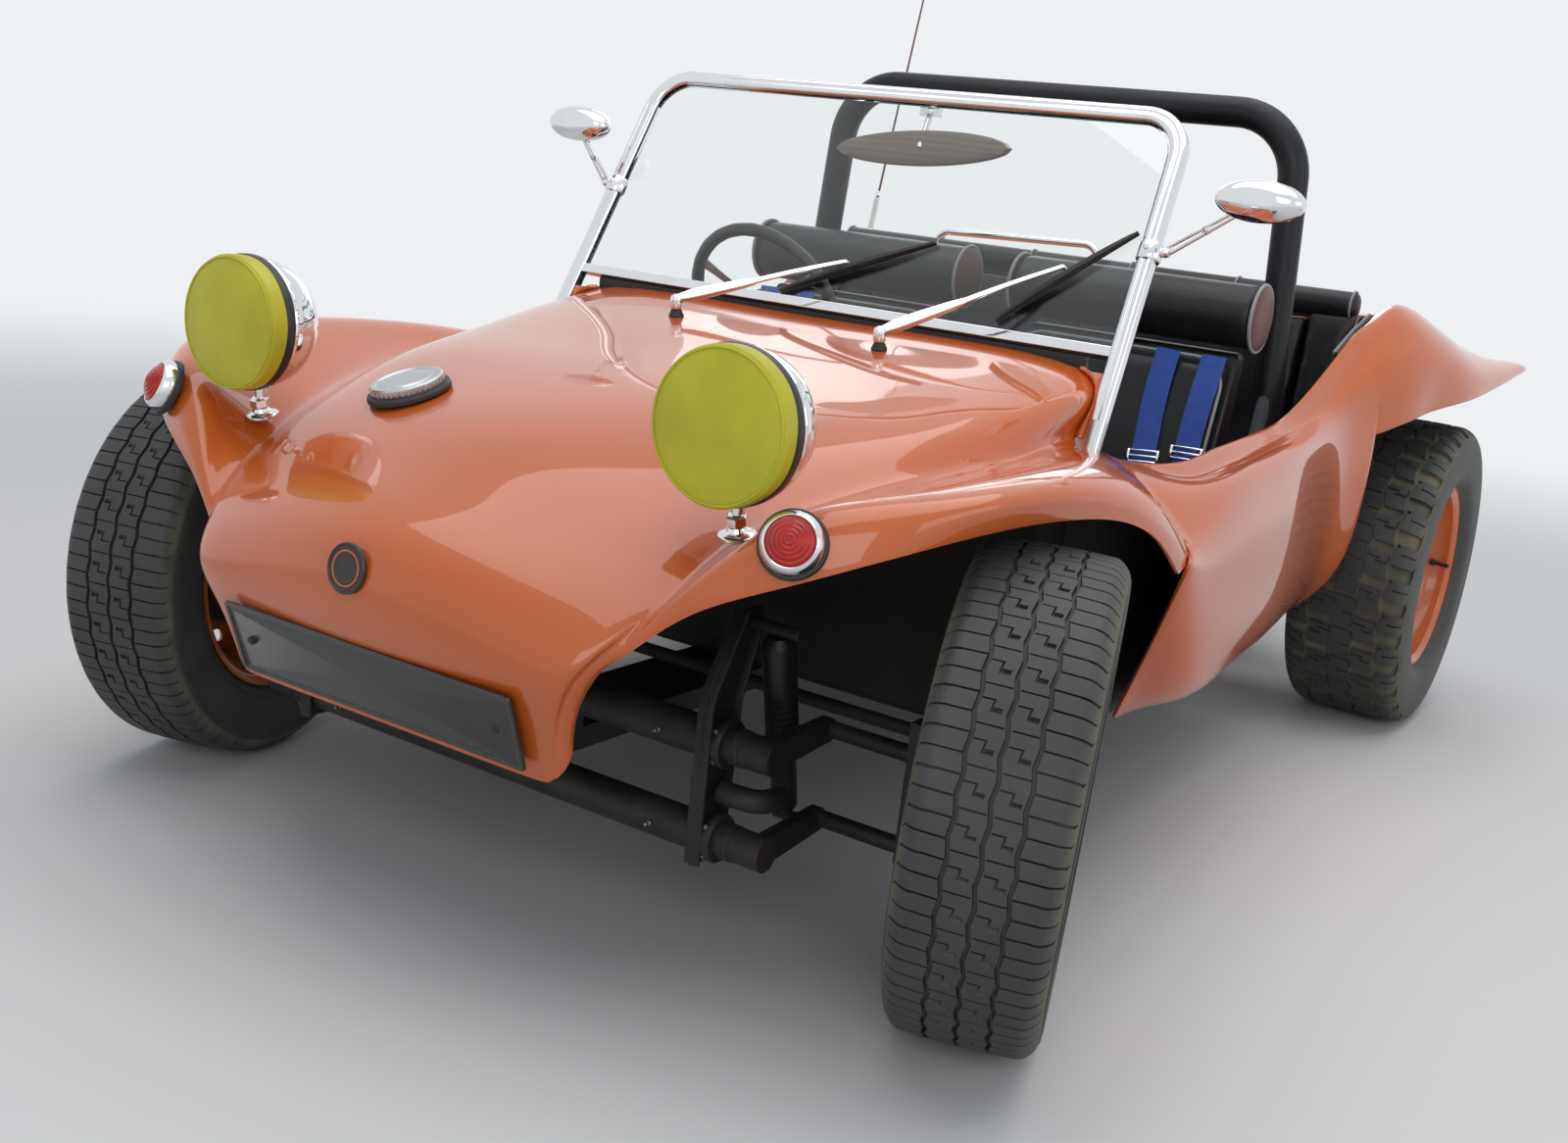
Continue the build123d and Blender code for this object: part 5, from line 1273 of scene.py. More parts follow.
cap_out = unit([0.31, -0.13, 0.94])
cap_foot = seated(front_tree, at(150, -225, 699), cap_out, 62)
cap_base = [(0, 0), (0, 62), (5, 62), (8, 60), (9, 55), (9, 0)]
cap_lid = [(8, 0.01), (8, 53), (10, 54), (19, 54), (21.5, 52), (22.5, 49), (21.6, 46), (20.2, 44.5),
           (20.2, 40), (21.4, 38.5), (22.6, 34), (23.6, 20), (24, 0.01)]
make_piece("filler_base", turned(cap_base, cap_foot, cap_out, 72), "rubber", "filler_cap", sharp=30)
make_piece("filler_cap_lid", turned(cap_lid, cap_foot, cap_out, 96), "aluminium", "filler_cap", sharp=30)
grip_low, grip_high = cap_foot + cap_out * 10.5 * mm, cap_foot + cap_out * 19 * mm
grip = [bar(grip_low + spoke * 53.6 * mm, grip_high + spoke * 53.6 * mm, 1.3, 8)
        for spoke in spokes_of(circle(40), *beside(cap_out, forward))]
make_piece("filler_grip", grip, "aluminium", "filler_cap", sharp=50)

# %% [markdown]
# ## Windscreen
#
# The frame is one bright tube, bent at its top corners, with a flat glass in it, a bright lower
# rail and a thick rubber strip down to the body. The wipers lie parked on the glass.

# %% Windscreen frame, glass, rail and rubber
screen_rake, screen_slope, screen_half = math.radians(27.2), 0.048, 558
screen_foot_x, screen_foot_z, post_foot_z, frame_top, rail_z = -526, 712, 704, 1227, 853
post_radius, glass_gap, rail_half = 15, 0.3, 9.3
screen_out = np.array([math.cos(screen_rake), 0, math.sin(screen_rake)])
screen_up = np.array([-math.sin(screen_rake), 0, math.cos(screen_rake)])


def post_y(z):
    """Half the distance between the posts' middles at height z."""
    return screen_half - screen_slope * (z - screen_foot_z)


def on_screen(share, z, proud=0.0):
    """A point in the screen's plane at height z, a share of the way to the left post."""
    x = screen_foot_x - math.tan(screen_rake) * (z - screen_foot_z)
    return at(x, share * post_y(z), z) + screen_out * proud * mm


corners = [on_screen(side, z)
           for side, z in ((1, post_foot_z), (1, frame_top), (-1, frame_top), (-1, post_foot_z))]
turn = circle(96)
flat = (np.abs(np.cos(turn)) ** 3.2 + np.abs(np.sin(turn)) ** 3.2) ** (-1 / 3.2)
ribs = 1 - 0.10 * np.clip(np.cos(4 * turn) * 3 - 1.2, 0, 1) * (np.abs(np.sin(turn)) > 0.3)
post_section = round_section(0.94 * post_radius, 96) * (flat * ribs)[:, None]
make_piece("screen_frame", carried(rounded_path(corners, 75, 14), post_section, screen_out), "chrome",
           "windscreen_frame", sharp=50)
rail = tube(on_screen(-0.985, rail_z), on_screen(0.985, rail_z), rounded_outline(8.8, 9.2, 1.6), screen_out,
            count=9)
make_piece("screen_rail", rail, "chrome", "windscreen_frame")
feet = [tube(on_screen(side, post_foot_z + 3), on_screen(side, post_foot_z + 44), round_section(15.4, 32),
             screen_out, count=3) for side in (-1, 1)]
make_piece("screen_feet", feet, "aluminium", "windscreen_frame", "chrome")

glass_low = on_screen(0, rail_z) + screen_up * rail_half * mm
half_low, half_top = (post_y(z) - post_radius - glass_gap for z in (rail_z + 10, frame_top))
rise = (frame_top - rail_z) / math.cos(screen_rake) - post_radius - glass_gap - rail_half
round_corner = 61
across, over = half_top - round_corner, rise - round_corner
outline = [(-half_low, 0), (half_low, 0)]
outline += [(across + round_corner * math.cos(t), over + round_corner * math.sin(t))
            for t in np.linspace(0, math.pi / 2, 9)]
outline += [(-x, y) for x, y in outline[:1:-1]]
ring = glass_low + np.array(outline) * mm @ np.stack([left, screen_up])
make_piece("screen_glass", slab(ring - screen_out * 2.5 * mm, screen_out * 5 * mm), "screen_glass",
           "windscreen_glass", "glass", 30)
seal = [(-5.5, -11), (5.5, -11), (5.8, -4), (4.2, 4), (3.6, 11), (-5, 11), (-5.6, 0)]
seal_form = tube(at(-602, -499, 831.5), at(-602, 499, 831.5), curve_through(seal, 1) * mm, count=9)
make_piece("screen_rubber", seal_form, "rubber", "windscreen_seal", sharp=50)

# %% Wipers with sprung arms and pointed rubber blades
wiper_table = {
    # pivot (x, y, z), arm end (share of post, z), blade ends (share, z) and (share, z)
    "right": (-440, -196, 811, 0.045, 925, -0.165, 866, 0.318, 981),
    "left": (-450, 205, 812, 0.768, 965, 0.6, 872, 0.955, 1037),
}
wiper_up = unit([0.16, 0, 0.99])
boot = [(0, 0), (0, 13), (3, 13), (6, 11), (9, 10.5), (11, 8.5), (15, 8), (15, 0)]
wiper_hub = [(14, 0), (14, 9.5), (17, 10.5), (31, 10.5), (35, 9), (38, 4), (38, 0)]
for tag, (x, y, z, s1, z1, s2, z2, s3, z3) in wiper_table.items():
    foot = seated(front_tree, at(x, y, z), wiper_up, 13)
    make_piece(f"wiper_boot_{tag}", turned(boot, foot, wiper_up, 32), "rubber", "wipers", sharp=30)
    knuckle, arm_end = at(x - 5, y, z + 32), on_screen(s1, z1, 22)
    root = knuckle + 0.38 * (arm_end - knuckle)
    share = np.linspace(0, 1, 15)
    arm_line = root + share[:, None] * (arm_end - root)
    arm_line += (np.sin(math.pi * share) * 3 * mm)[:, None] * screen_out
    blade_low, blade_high = on_screen(s2, z2, 8.3), on_screen(s3, z3, 8.3)
    make_piece(f"wiper_arm_{tag}", [
        turned(wiper_hub, foot, wiper_up, 32),
        tube(knuckle, root + (arm_end - root) * 0.12, rounded_outline(9.5, 7, 2.6), screen_out,
             scale=[0.7, 1.0, 1.0, 0.95, 0.85, 0.75, 0.55]),
        carried(arm_line, rounded_outline(4.8, 3.2, 1.4), screen_out, scale=np.linspace(1.0, 0.7, 15)),
        tube(arm_end, on_screen(s1, z1, 12), round_section(3.5, 12), unit(blade_high - blade_low), count=3),
    ], "chrome", "wipers")
    share = np.linspace(0, 1, 21)
    spine = blade_low + share[:, None] * (blade_high - blade_low)
    height = 4 * mm + 8 * mm * np.sin(math.pi * share)
    make_piece(f"wiper_blade_{tag}", [
        carried(spine, rounded_outline(2.6, 4.2, 0.8), screen_out),
        carried(spine + height[:, None] * screen_out, rounded_outline(4.2, 2.2, 0.8), screen_out,
                scale=0.35 + 0.65 * np.sin(math.pi * share) ** 0.5),
        *[bar(spine[k] + 1 * mm * screen_out, spine[k] + (height[k] + 1 * mm) * screen_out, 1.8, 8)
          for k in (4, 10, 16)],
    ], "rubber", "wipers")

# %% Side mirrors on slotted arms, clamped to the posts
clamp_z = 1012
clamp_ring = [(-15, 15.2), (-15, 18.5), (-12, 20), (12, 20), (15, 18.5), (15, 15.2)]
ball = [(-9, 0.01), (-6, 7), (0, 9), (6, 7), (9, 0.01)]
shell_steps = [
    # depth, share of the full oval
    (-20, 0.93), (-21.5, 0.97), (-19, 1.0), (-6, 1.0), (4, 0.97), (13, 0.84), (19, 0.60), (21.6, 0.28),
    (22, 0.001),
]
face_steps = [(-19.5, 0.94), (-19.5, 0.001), (-16, 0.001), (-16, 0.94)]
rail_section, end_section = rounded_outline(3.4, 2.2, 0.9), rounded_outline(3.4, 7, 1.6)
for side, tag, head in ((1, "left", at(-640, 715, 1108)), (-1, "right", at(-640, -622, 1120))):
    clamp = on_screen(side, clamp_z)
    stub = clamp + np.array([0, side * 26, 4]) * mm
    arm_way = unit(head - stub)
    flat = unit(np.cross(arm_way, forward))
    arm_root, arm_tip = stub + arm_way * 6 * mm, head - arm_way * 22 * mm
    make_piece(f"mirror_arm_{tag}", [
        turned(clamp_ring, clamp, on_screen(side, clamp_z + 10) - clamp, 32, closed=True),
        turned(ball, stub, left, 24), bar(clamp + left * side * 16 * mm, stub, 6.5, 20, 1),
        *[tube(arm_root + flat * s * 5 * mm, arm_tip + flat * s * 3 * mm, rail_section, flat, count=5)
          for s in (-1, 1)],
        *[tube(p - arm_way * 8 * mm, p + arm_way * 8 * mm, end_section, flat, [0.75, 1, 1, 1, 0.75])
          for p in (arm_root, 0.5 * (arm_root + arm_tip), arm_tip)],
        bar(arm_tip, head + arm_way * 2 * mm - forward * 2 * mm, 5, 16, 1),
        bar(clamp + screen_out * 17 * mm, clamp + screen_out * 24 * mm, 5, 6, 1),
    ], "chrome", "side_mirrors", sharp=35)
    oval = spokes_of(circle(72), 68 * left, 32 * upward) * mm
    rings = [head + oval * s + forward * d * mm for d, s in shell_steps]
    make_piece(f"mirror_shell_{tag}", grid(np.stack(rings), around=True), "chrome", "side_mirrors", sharp=60,
               closed=False)
    rings = [head + oval * s + forward * d * mm for d, s in face_steps]
    make_piece(f"mirror_face_{tag}", grid(np.stack(rings), around=True, along=True), "mirror_glass",
               "side_mirrors", "chrome")

# %% Interior mirror: a wooden board shape under the top rail
mirror_head, mirror_half = at(-792, 50, 1140), 172
board_way = unit([0, 1, 0.08])
board_up = unit(np.cross(forward, board_way))
share = np.linspace(-1, 1, 41)
wide = (31 * mm * np.sqrt(np.clip(1 - np.abs(share) ** 1.9, 0, 1)))[:, None]
spine = mirror_head + share[:, None] * board_way * mirror_half * mm
rings = []
for d, s in ((-11.5, 0), (-11, 0.86), (-9, 0.97), (-5, 1.0), (5, 1.0), (9, 0.97), (11, 0.86), (11.5, 0)):
    upper, lower = (spine + sign * s * wide * board_up + forward * d * mm for sign in (1, -1))
    rings.append(np.concatenate([upper, lower[-2:0:-1]]))
make_piece("interior_mirror_board", grid(np.stack(rings), around=True), "varnished_wood", "interior_mirror",
           "wood", 50)
bracket = on_screen(0.09, frame_top)
stem_top = bracket + np.array([-22, 0, -20]) * mm
holder = make_piece("interior_mirror_stem", [
    box_form(bracket + np.array([-28, -20, -30]) * mm, bracket + np.array([-16, 20, 3]) * mm),
    bar(mirror_head + forward * 10 * mm, stem_top, 6, 20, 1),
    turned([(-11, 0.01), (-8, 9), (0, 11.5), (8, 9), (11, 0.01)], stem_top, board_up, 24),
], "chrome", "interior_mirror", "wood", 35)
bevelled(holder, 1.5)

# %% [markdown]
# ## Seats
#
# Padding can't be drawn with flat faces: it swells until its cover is tight. Each pad starts as
# a plain form a little too small. A voxel remesh gives it even faces, Blender's cloth simulation
# blows it up with a steady pressure and no gravity, and a cap keeps any point from travelling
# too far. The sewn channels are pressed in afterwards, since a remesh would wipe them out.

# %% Blow up a pad
pad_pressure, pad_frames = 4.0, 20
facing_reach = 20 * mm


def points_of(mesh):
    """The places of a mesh's points."""
    places = np.empty(len(mesh.vertices) * 3)
    mesh.vertices.foreach_get("co", places)
    return places.reshape(-1, 3)


def simulated(form, voxel):
    """The form remeshed: its points at rest, its points blown up by cloth, and its faces."""
    pad = linked("pad", mesh_of("pad", form))
    remesh = modify(pad, "REMESH", mode="VOXEL", voxel_size=voxel * mm, use_smooth_shade=True)
    pad.data = bpy.data.meshes.new_from_object(evaluated(pad))
    pad.modifiers.remove(remesh)
    rest = swollen = points_of(pad.data)
    quads = np.array([list(face.vertices) for face in pad.data.polygons])
    cloth = modify(pad, "CLOTH")
    cloth.settings.use_pressure = True
    cloth.settings.uniform_pressure_force = pad_pressure
    cloth.settings.effector_weights.gravity = 0.0
    cloth.settings.tension_stiffness = cloth.settings.compression_stiffness = 40.0
    cloth.settings.bending_stiffness = 4.0
    for number in range(1, pad_frames + 1):
        scene.frame_set(number)
    swollen = points_of(evaluated(pad).data)
    scene.frame_set(1)
    bpy.data.objects.remove(pad)
    return rest, swollen, quads


def pressed(points, middle, width, depth, push):
    """Points pressed along push by depth exp(-(d / width)^2), d sideways from middle: a channel."""
    distance = (points - middle) @ left / (width * mm)
    facing = np.clip((points - middle) @ -push / facing_reach, 0, 1)
    return points + (depth * mm * facing * np.exp(-distance ** 2))[:, None] * push


def make_pad(name, form, node, cap, channels=(), voxel=8):
    """A finished pad: simulated, capped, with its channels pressed in and one subdivision."""
    rest, swollen, quads = simulated(form, voxel)
    move = swollen - rest
    length = np.linalg.norm(move, axis=1)[:, None]
    points = rest + move * np.minimum(1, cap * mm / np.maximum(length, 1e-9))
    for channel in channels:
        points = pressed(points, *channel)
    pad = make_piece(name, (points, quads), "black_vinyl", node, sharp=180)
    modify(pad, "SUBSURF", levels=1, render_levels=1)
    print(name, "moved by up to", round(float(length.max()) / mm, 1), "mm")


def side_view(outline, y_low, y_high, across=9):
    """An outline in side view (x, z), carried from y_low to y_high, with capped ends."""
    ring = np.array([at(x, 0, z) for x, z in outline])
    rows = [ring + left * y * mm for y in np.linspace(y_low, y_high, across)]
    middles = [rows[end].mean(0) + 0 * ring for end in (0, -1)]
    return grid(np.stack([middles[0], *rows, middles[1]]), around=True)


# %% Front seats: cushion, back, rolled top, piping and runners
seat_y, seat_seams = 312, (-150, -52, 52, 150)
bolster_x, bolster_z = -1262, 905
back_low, back_high = np.array([-1096.0, 425.0]), np.array([-1209.0, 830.0])
back_way = unit(back_high - back_low)
back_front = np.array([back_way[1], -back_way[0]])
face_out = np.array([back_front[0], 0, back_front[1]])
cushion_outline = [(-746, 338), (-741, 392), (-756, 416), (-790, 428), (-1084, 411), (-1096, 338)]
back_outline = [back_low + back_way * 6 - back_front * 8, back_high - back_front * 8,
                back_high - back_front * 62, back_low + back_way * 6 - back_front * 62]
shell_outline = [(-1172, 306), (-1150, 405), (-1262, 834), (-1304, 834), (-1238, 306)]
base_outline = [(-748, 304), (-744, 336), (-1148, 336), (-1160, 304)]
seat_roll = [(-248, 0.01), (-248, 52), (-244, 58), (-236, 61), (236, 61), (244, 58), (248, 52), (248, 0.01)]
roll_end = [(-3, 0.01), (-3, 61), (3, 61), (6, 56), (8.5, 44), (10.5, 20), (11, 0.01)]
piping_section = round_section(3.4, 10)
for side, tag in front_sides[::-1]:
    middle = side * seat_y
    back_foot = at(back_low[0], middle, back_low[1])
    back_seams = [(back_foot + left * y * mm, 11, 13, -face_out) for y in seat_seams]
    cushion_seams = [(at(-900, middle + y, 330), 11, 12, down) for y in seat_seams]
    make_pad(f"seat_cushion_{tag}", side_view(cushion_outline, middle - 214, middle + 214), "front_seats", 9,
             cushion_seams)
    make_pad(f"seat_back_{tag}", side_view(back_outline, middle - 212, middle + 212), "front_seats", 9,
             back_seams)
    make_pad(f"seat_roll_{tag}", turned(seat_roll, at(bolster_x, middle, bolster_z), left, 48),
             "front_seats", 6, voxel=7)
    for part, outline, width, segments in (("shell", shell_outline, 9, 4), ("base", base_outline, 7, 3)):
        form = side_view(outline, middle - 220, middle + 220, 2)
        bevelled(make_piece(f"seat_{part}_{tag}", form, "black_vinyl", "front_seats"), width, segments)
    rings, caps = [], []
    for end in (-1, 1):
        hub = at(bolster_x, middle + end * 250, bolster_z)
        ring = hub + 63.5 * mm * spokes_of(circle(72), forward, upward)
        rings.append(carried(ring, piping_section, left, loop=True))
        caps.append(turned(roll_end, hub, left * end, 48))
    low, high = back_low + back_way * 30, back_high - back_way * 8
    line = [at(x, middle + y, z) + face_out * mm
            for (x, z), y in ((low, 218), (high, 218), (high, -218), (low, -218))]
    rings.append(carried(rounded_path(line, 60, 10), piping_section, face_out))
    line = [at(x, middle + y, z)
            for x, y, z in ((-1080, 221, 398), (-756, 221, 414), (-756, -221, 414), (-1080, -221, 398))]
    rings.append(carried(rounded_path(line, 40, 8), piping_section))
    make_piece(f"seat_piping_{tag}", rings, "grey_piping", "front_seats", "black_vinyl", 60)
    make_piece(f"seat_roll_ends_{tag}", caps, "brown_vinyl", "front_seats", "black_vinyl", 50)
    forms = []
    for rail in (middle - 150, middle + 150):
        forms.append(box_form(at(-1180, rail - 14, pan_top), at(-800, rail + 14, 272)))
        forms.append(box_form(at(-1150, rail - 9, 272), at(-830, rail + 9, 304)))
    bevelled(make_piece(f"seat_runners_{tag}", forms, "black_chassis", "front_seats", "black_vinyl"), 2)

# %% [markdown]
# ## Harness belts
#
# Webbing is a flat strip. Here its path runs down the face of the seat back with slow waves, as
# a slack belt lies. The weave is a fine rib across the belt, made in the material from the
# distance along it, which each strip carries as an attribute.

# %% Woven belts with their adjusters
belt_half, belt_thick, belt_across = 24, 2.4, (110, 196)
belt_section = rounded_outline(belt_half, belt_thick / 2, belt_thick / 2.2, 4)
share = np.linspace(0, 1, 81)
buckles = []
for side, tag in front_sides[::-1]:
    for number, offset in enumerate(belt_across):
        low = at(back_low[0] + 6, side * (seat_y + offset), back_low[1] + 4)
        high = at(back_high[0] + 3, side * (seat_y + offset - 6), back_high[1] - 4)
        lift = 4.5 * mm + 3 * mm * np.sin(2 * math.pi * share * 1.2 + number)
        line = low + share[:, None] * (high - low) + lift[:, None] * face_out
        line[:, 1] += side * 5 * mm * np.sin(2 * math.pi * share + number)
        belt = make_piece(f"belt_{tag}_{number + 1}", carried(line, belt_section, face_out), "belt_blue",
                          "harness_belts", sharp=60)
        run = (points_of(belt.data) - low) @ unit(high - low)
        belt.data.attributes.new("run", "FLOAT", "POINT").data.foreach_set("value", run.astype(np.float32))
        step = 39 + 4 * number
        spot, way = line[step] + face_out * 3 * mm, unit(line[step + 2] - line[step])
        wide = unit(np.cross(face_out, way))
        for k in (-11, 0, 11):
            rung = spot + way * k * mm
            buckles.append(bar(rung - wide * 29 * mm, rung + wide * 29 * mm, 2.4, 12, 0.6))
        for k in (-29, 29):
            rung = spot + wide * k * mm
            buckles.append(bar(rung - way * 13 * mm, rung + way * 13 * mm, 3, 12, 0.8))
make_piece("belt_adjusters", buckles, "chrome", "harness_belts", "belt_blue", 50)

# %% Rear bench with sewn seams
bench_cushion = [(-1610, 396), (-1566, 430), (-1534, 478), (-1562, 512), (-1640, 514), (-1650, 396)]
bench_back = [(-1632, 516), (-1682, 900), (-1734, 906), (-1734, 500)]
bench_roll = [(-628, 0.01), (-628, 22), (-622, 28), (-614, 30), (614, 30), (622, 28), (628, 22), (628, 0.01)]
wing_outline = [(536, 520), (576, 520), (608, 700), (636, 918), (536, 912)]
bench_push = np.array([-0.98, 0, -0.17])
seams = [(at(-1640, y, 600), 10, 12, bench_push) for y in (-366, -122, 122, 366)]
make_pad("bench_cushion", side_view(bench_cushion, -533, 533, 13), "rear_seat", 8, voxel=10)
make_pad("bench_back", side_view(bench_back, -533, 533, 13), "rear_seat", 8, seams, 10)
make_pad("bench_roll", turned(bench_roll, at(-1708, 0, 935), left, 40), "rear_seat", 4)
rings = []
for side, tag in front_sides[::-1]:
    ring = [at(-1632 - (z - 516) * 0.13, side * y, z) for y, z in wing_outline]
    make_pad(f"bench_side_{tag}", slab(ring, -50 * mm * forward), "rear_seat", 5, voxel=7)
    edge = [at(-1634 - (z - 516) * 0.13, side * y, z) for y, z in wing_outline[1:4]]
    rings.append(carried(rounded_path(edge, 60, 8), round_section(2.6, 8)))
for y in (-616, -366, -122, 122, 366, 616):
    turn = np.linspace(-0.4 * math.pi, 1.1 * math.pi, 40)
    ring = at(-1708, y, 935) + 30.5 * mm * spokes_of(turn, forward, upward)
    rings.append(carried(ring, round_section(2.6, 8), left))
make_piece("bench_piping", rings, "grey_piping", "rear_seat", "black_vinyl", 60)

# %% [markdown]
# ## Roll bar, rail and aerial
#
# All three are tubes: one section carried along a path with round bends. The roll bar stands on
# bolted foot plates and has a short padded brace. The aerial stands on a coil spring, whose
# centre line is a helix.

# %% Roll bar, brace sleeve, rear rail and aerial
roll_bar_x, roll_bar_top, roll_bar_radius, plate_top = -1452, 1290, 30, pan_top + 8
corners = [at(roll_bar_x, y, z)
           for y, z in ((574, plate_top), (512, roll_bar_top), (-512, roll_bar_top), (-574, plate_top))]
forms = [carried(rounded_path(corners, 130, 16), round_section(roll_bar_radius, 48), forward)]
sleeve = [(36, 11.5), (36, 13.2), (40, 14), (250, 14), (254, 13.2), (254, 11.5)]
foot_bolt = [(0, 0), (0, 8), (5, 8), (6, 7), (6, 0)]
plates, sleeves = [], []
for side in (-1, 1):
    for x_low, x_high, y_low, y_high in ((-60, 60, 530, 599), (160, 230, 535, 585)):
        plates.append(box_form(at(roll_bar_x + x_low, side * y_low, pan_top),
                               at(roll_bar_x + x_high, side * y_high, plate_top)))
    top, foot = at(roll_bar_x, side * 545, 790), at(roll_bar_x + 190, side * 560, pan_top + 6)
    forms.append(bar(foot, top, 12, 32))
    sleeves.append(turned(sleeve, top, foot - top, 32, closed=True))
    for x, y in ((-45, 541), (45, 541), (-45, 588), (45, 588)):
        plates.append(turned(foot_bolt, at(roll_bar_x + x, side * y, pan_top + 7.5), upward, 6))
make_piece("roll_hoop", forms, "black_tube", "roll_bar", sharp=50)
bevelled(make_piece("roll_bar_feet", plates, "black_tube", "roll_bar"), 1.5)
make_piece("brace_sleeves", sleeves, "foam_grey", "roll_bar", "black_tube")

rail_feet = [seated(rear_tree, at(-1850, y, 909), upward, 9) for y in (-455, -25)]
rail_path = rounded_path([rail_feet[0], at(-1850, -455, 978), at(-1850, -25, 990), rail_feet[1]], 35, 10)
flange = [(0, 0), (0, 15), (2, 15), (4, 12), (5, 9), (5, 0)]
forms = [carried(rail_path, round_section(9, 28), forward)]
forms += [turned(flange, foot, upward, 32) for foot in rail_feet]
make_piece("rear_deck_rail", forms, "chrome", "rear_rail")

base = seated(rear_tree, at(-1850, -650, 930), upward, 16)
aerial_foot = [(0, 0), (0, 16), (4, 16), (8, 13), (14, 12), (22, 9), (24, 6), (24, 0)]
coils, coil_radius = 16, 7.6
spring_foot, whip_foot, whip_tip, ferrule_low, ferrule_high = (
    base + np.array([0, y, z]) * mm for y, z in ((1, 22), (10, 100), (110, 900), (8, 94), (11, 116)))
share = np.linspace(0, 1, 321)
helix = spring_foot + share[:, None] * (whip_foot - spring_foot)
helix += coil_radius * mm * spokes_of(2 * math.pi * coils * share, forward, left)
make_piece("aerial_base", [
    turned(aerial_foot, base, upward, 40), carried(helix, round_section(1.7, 8)),
    bar(ferrule_low, ferrule_high, 6, 24, 1.5),
], "chrome", "whip_antenna", "plastic_black", 50)
whip = tube(whip_foot, whip_tip, round_section(2.9, 12), forward, np.linspace(1, 0.5, 12))
make_piece("aerial_whip", whip, "antenna_red", "whip_antenna", "plastic_black", 60)

# %% [markdown]
# ## Steering wheel, dashboard and controls
#
# The wheel sits on its column at a slant, so all of it is worked out from the column's direction
# and two directions square to it. It turns with its own body, and rides on it.

# %% Steering wheel and column
wheel_tilt = math.radians(26)
column_axis = np.array([math.cos(wheel_tilt), 0, -math.sin(wheel_tilt)])
column_up = np.cross(column_axis, left)
wheel_hub = np.array(joints["steering_wheel_turn"]["pos_m"])
wheel_hub = wheel_hub + column_axis * np.dot(at(-870, -300, 815) - wheel_hub, column_axis)
hand_rim_radius, grip_radius, grip_waves = 160, 12.6, 24


def on_column(ahead):
    """A point on the column's line, some millimetres ahead of the wheel's hub."""
    return wheel_hub + column_axis * ahead * mm


turn = circle(120)
rim_line = wheel_hub + hand_rim_radius * mm * spokes_of(turn, left, column_up)
grip = grip_radius * (1 + 0.025 * np.cos(grip_waves * turn))
rim_form = carried(rim_line, round_section(1, 24), column_axis, loop=True, scale=grip)
make_piece("hand_wheel_rim", rim_form, "plastic_black", "steering_wheel", sharp=60, body="hand_wheel")
spoke_scale = 1.15 - 0.35 * np.sin(math.pi * np.linspace(0, 1, 9))
spokes = [tube(on_column(8) + way * 24 * mm, on_column(1) + way * 150 * mm, rounded_outline(11, 1.8, 1.2),
               column_axis, spoke_scale)
          for way in spokes_of(np.radians([90, 210, 330]), left, -column_up)]
make_piece("hand_wheel_spokes", spokes, "aluminium", "steering_wheel", "plastic_black", 30, "hand_wheel")
boss = [(28, 10), (28, 27), (24, 30), (6, 30), (2, 34), (-2, 34), (-4, 31), (-6, 27), (-6, 0.01)]
make_piece("hand_wheel_boss", turned(boss, wheel_hub, column_axis, 48), "plastic_black", "steering_wheel",
           sharp=30, body="hand_wheel")
column_end = wheel_hub + column_axis * (at(84, 0, 0) - wheel_hub)[0] / column_axis[0]
make_piece("steering_column", [
    bar(on_column(2), on_column(44), 9.9, 24, 0.5), bar(on_column(34), column_end, 19, 40, 2),
    bar(on_column(64), on_column(128), 19.6, 40, 3),
], "black_tube", "steering_gear", sharp=30)
box = box_form(at(66, -338, 318), at(127.6, -262, 400))
bevelled(make_piece("steering_box", box, "cast_aluminium", "steering_gear", "black_tube"), 7, 4)
lid = [(0, 0.01), (0, 26), (3, 26), (5, 23), (6, 10), (10, 9), (12, 6), (12, 0.01)]
make_piece("steering_box_lid", turned(lid, at(98, -300, 388), upward, 32), "cast_aluminium", "steering_gear",
           "black_tube", 30)
stalk_neck = on_column(96) - left * 96 * mm + column_up * 22 * mm
stalk_end = on_column(96) - left * 116 * mm + column_up * 27 * mm
stalk = [bar(on_column(96), stalk_neck, 3.2, 14, 1), bar(stalk_neck, stalk_end, 6, 18, 2.5)]
make_piece("indicator_stalk", stalk, "plastic_black", "steering_gear", "black_tube")

# %% Dashboard with round instruments
dash_outline = [(-639, 641), (-629, 641), (-628, 784), (-592, 799), (-592, 818), (-610, 819), (-638, 801)]
dash = make_piece("dashboard_panel", side_view(dash_outline, -499, 499, 3), "black_vinyl", "dashboard")
bevelled(dash, 4, 4, 30)
gauge_table = [
    # y, z, radius
    (-300, 728, 50), (-205, 735, 27), (-395, 735, 27), (-205, 678, 14), (-160, 678, 14), (60, 735, 27),
    (0, 735, 27),
]
bezels, faces, marks = [], [], []
for y, z, radius in gauge_table:
    centre = at(-639, y, z)
    ring = [(0, radius - 4), (0, radius), (4, radius), (6, radius - 1.5), (6, radius - 3), (3, radius - 4)]
    bezels.append(turned(ring, centre, -forward, 48, closed=True))
    faces.append(turned([(0, radius - 3), (2.4, radius - 3), (2.4, 0.01)], centre, -forward, 40))
    if radius > 20:
        pivot = centre - forward * 3.4 * mm
        marks.append(bar(pivot, pivot + (left * 0.55 + upward * 0.35) * radius * mm, 0.9, 8))
        for spoke in spokes_of(np.radians(np.arange(-40, 221, 20)), left, upward):
            start, end = (centre - forward * 2.6 * mm + spoke * radius * s * mm for s in (0.76, 0.88))
            marks.append(bar(start, end, 0.6, 6))
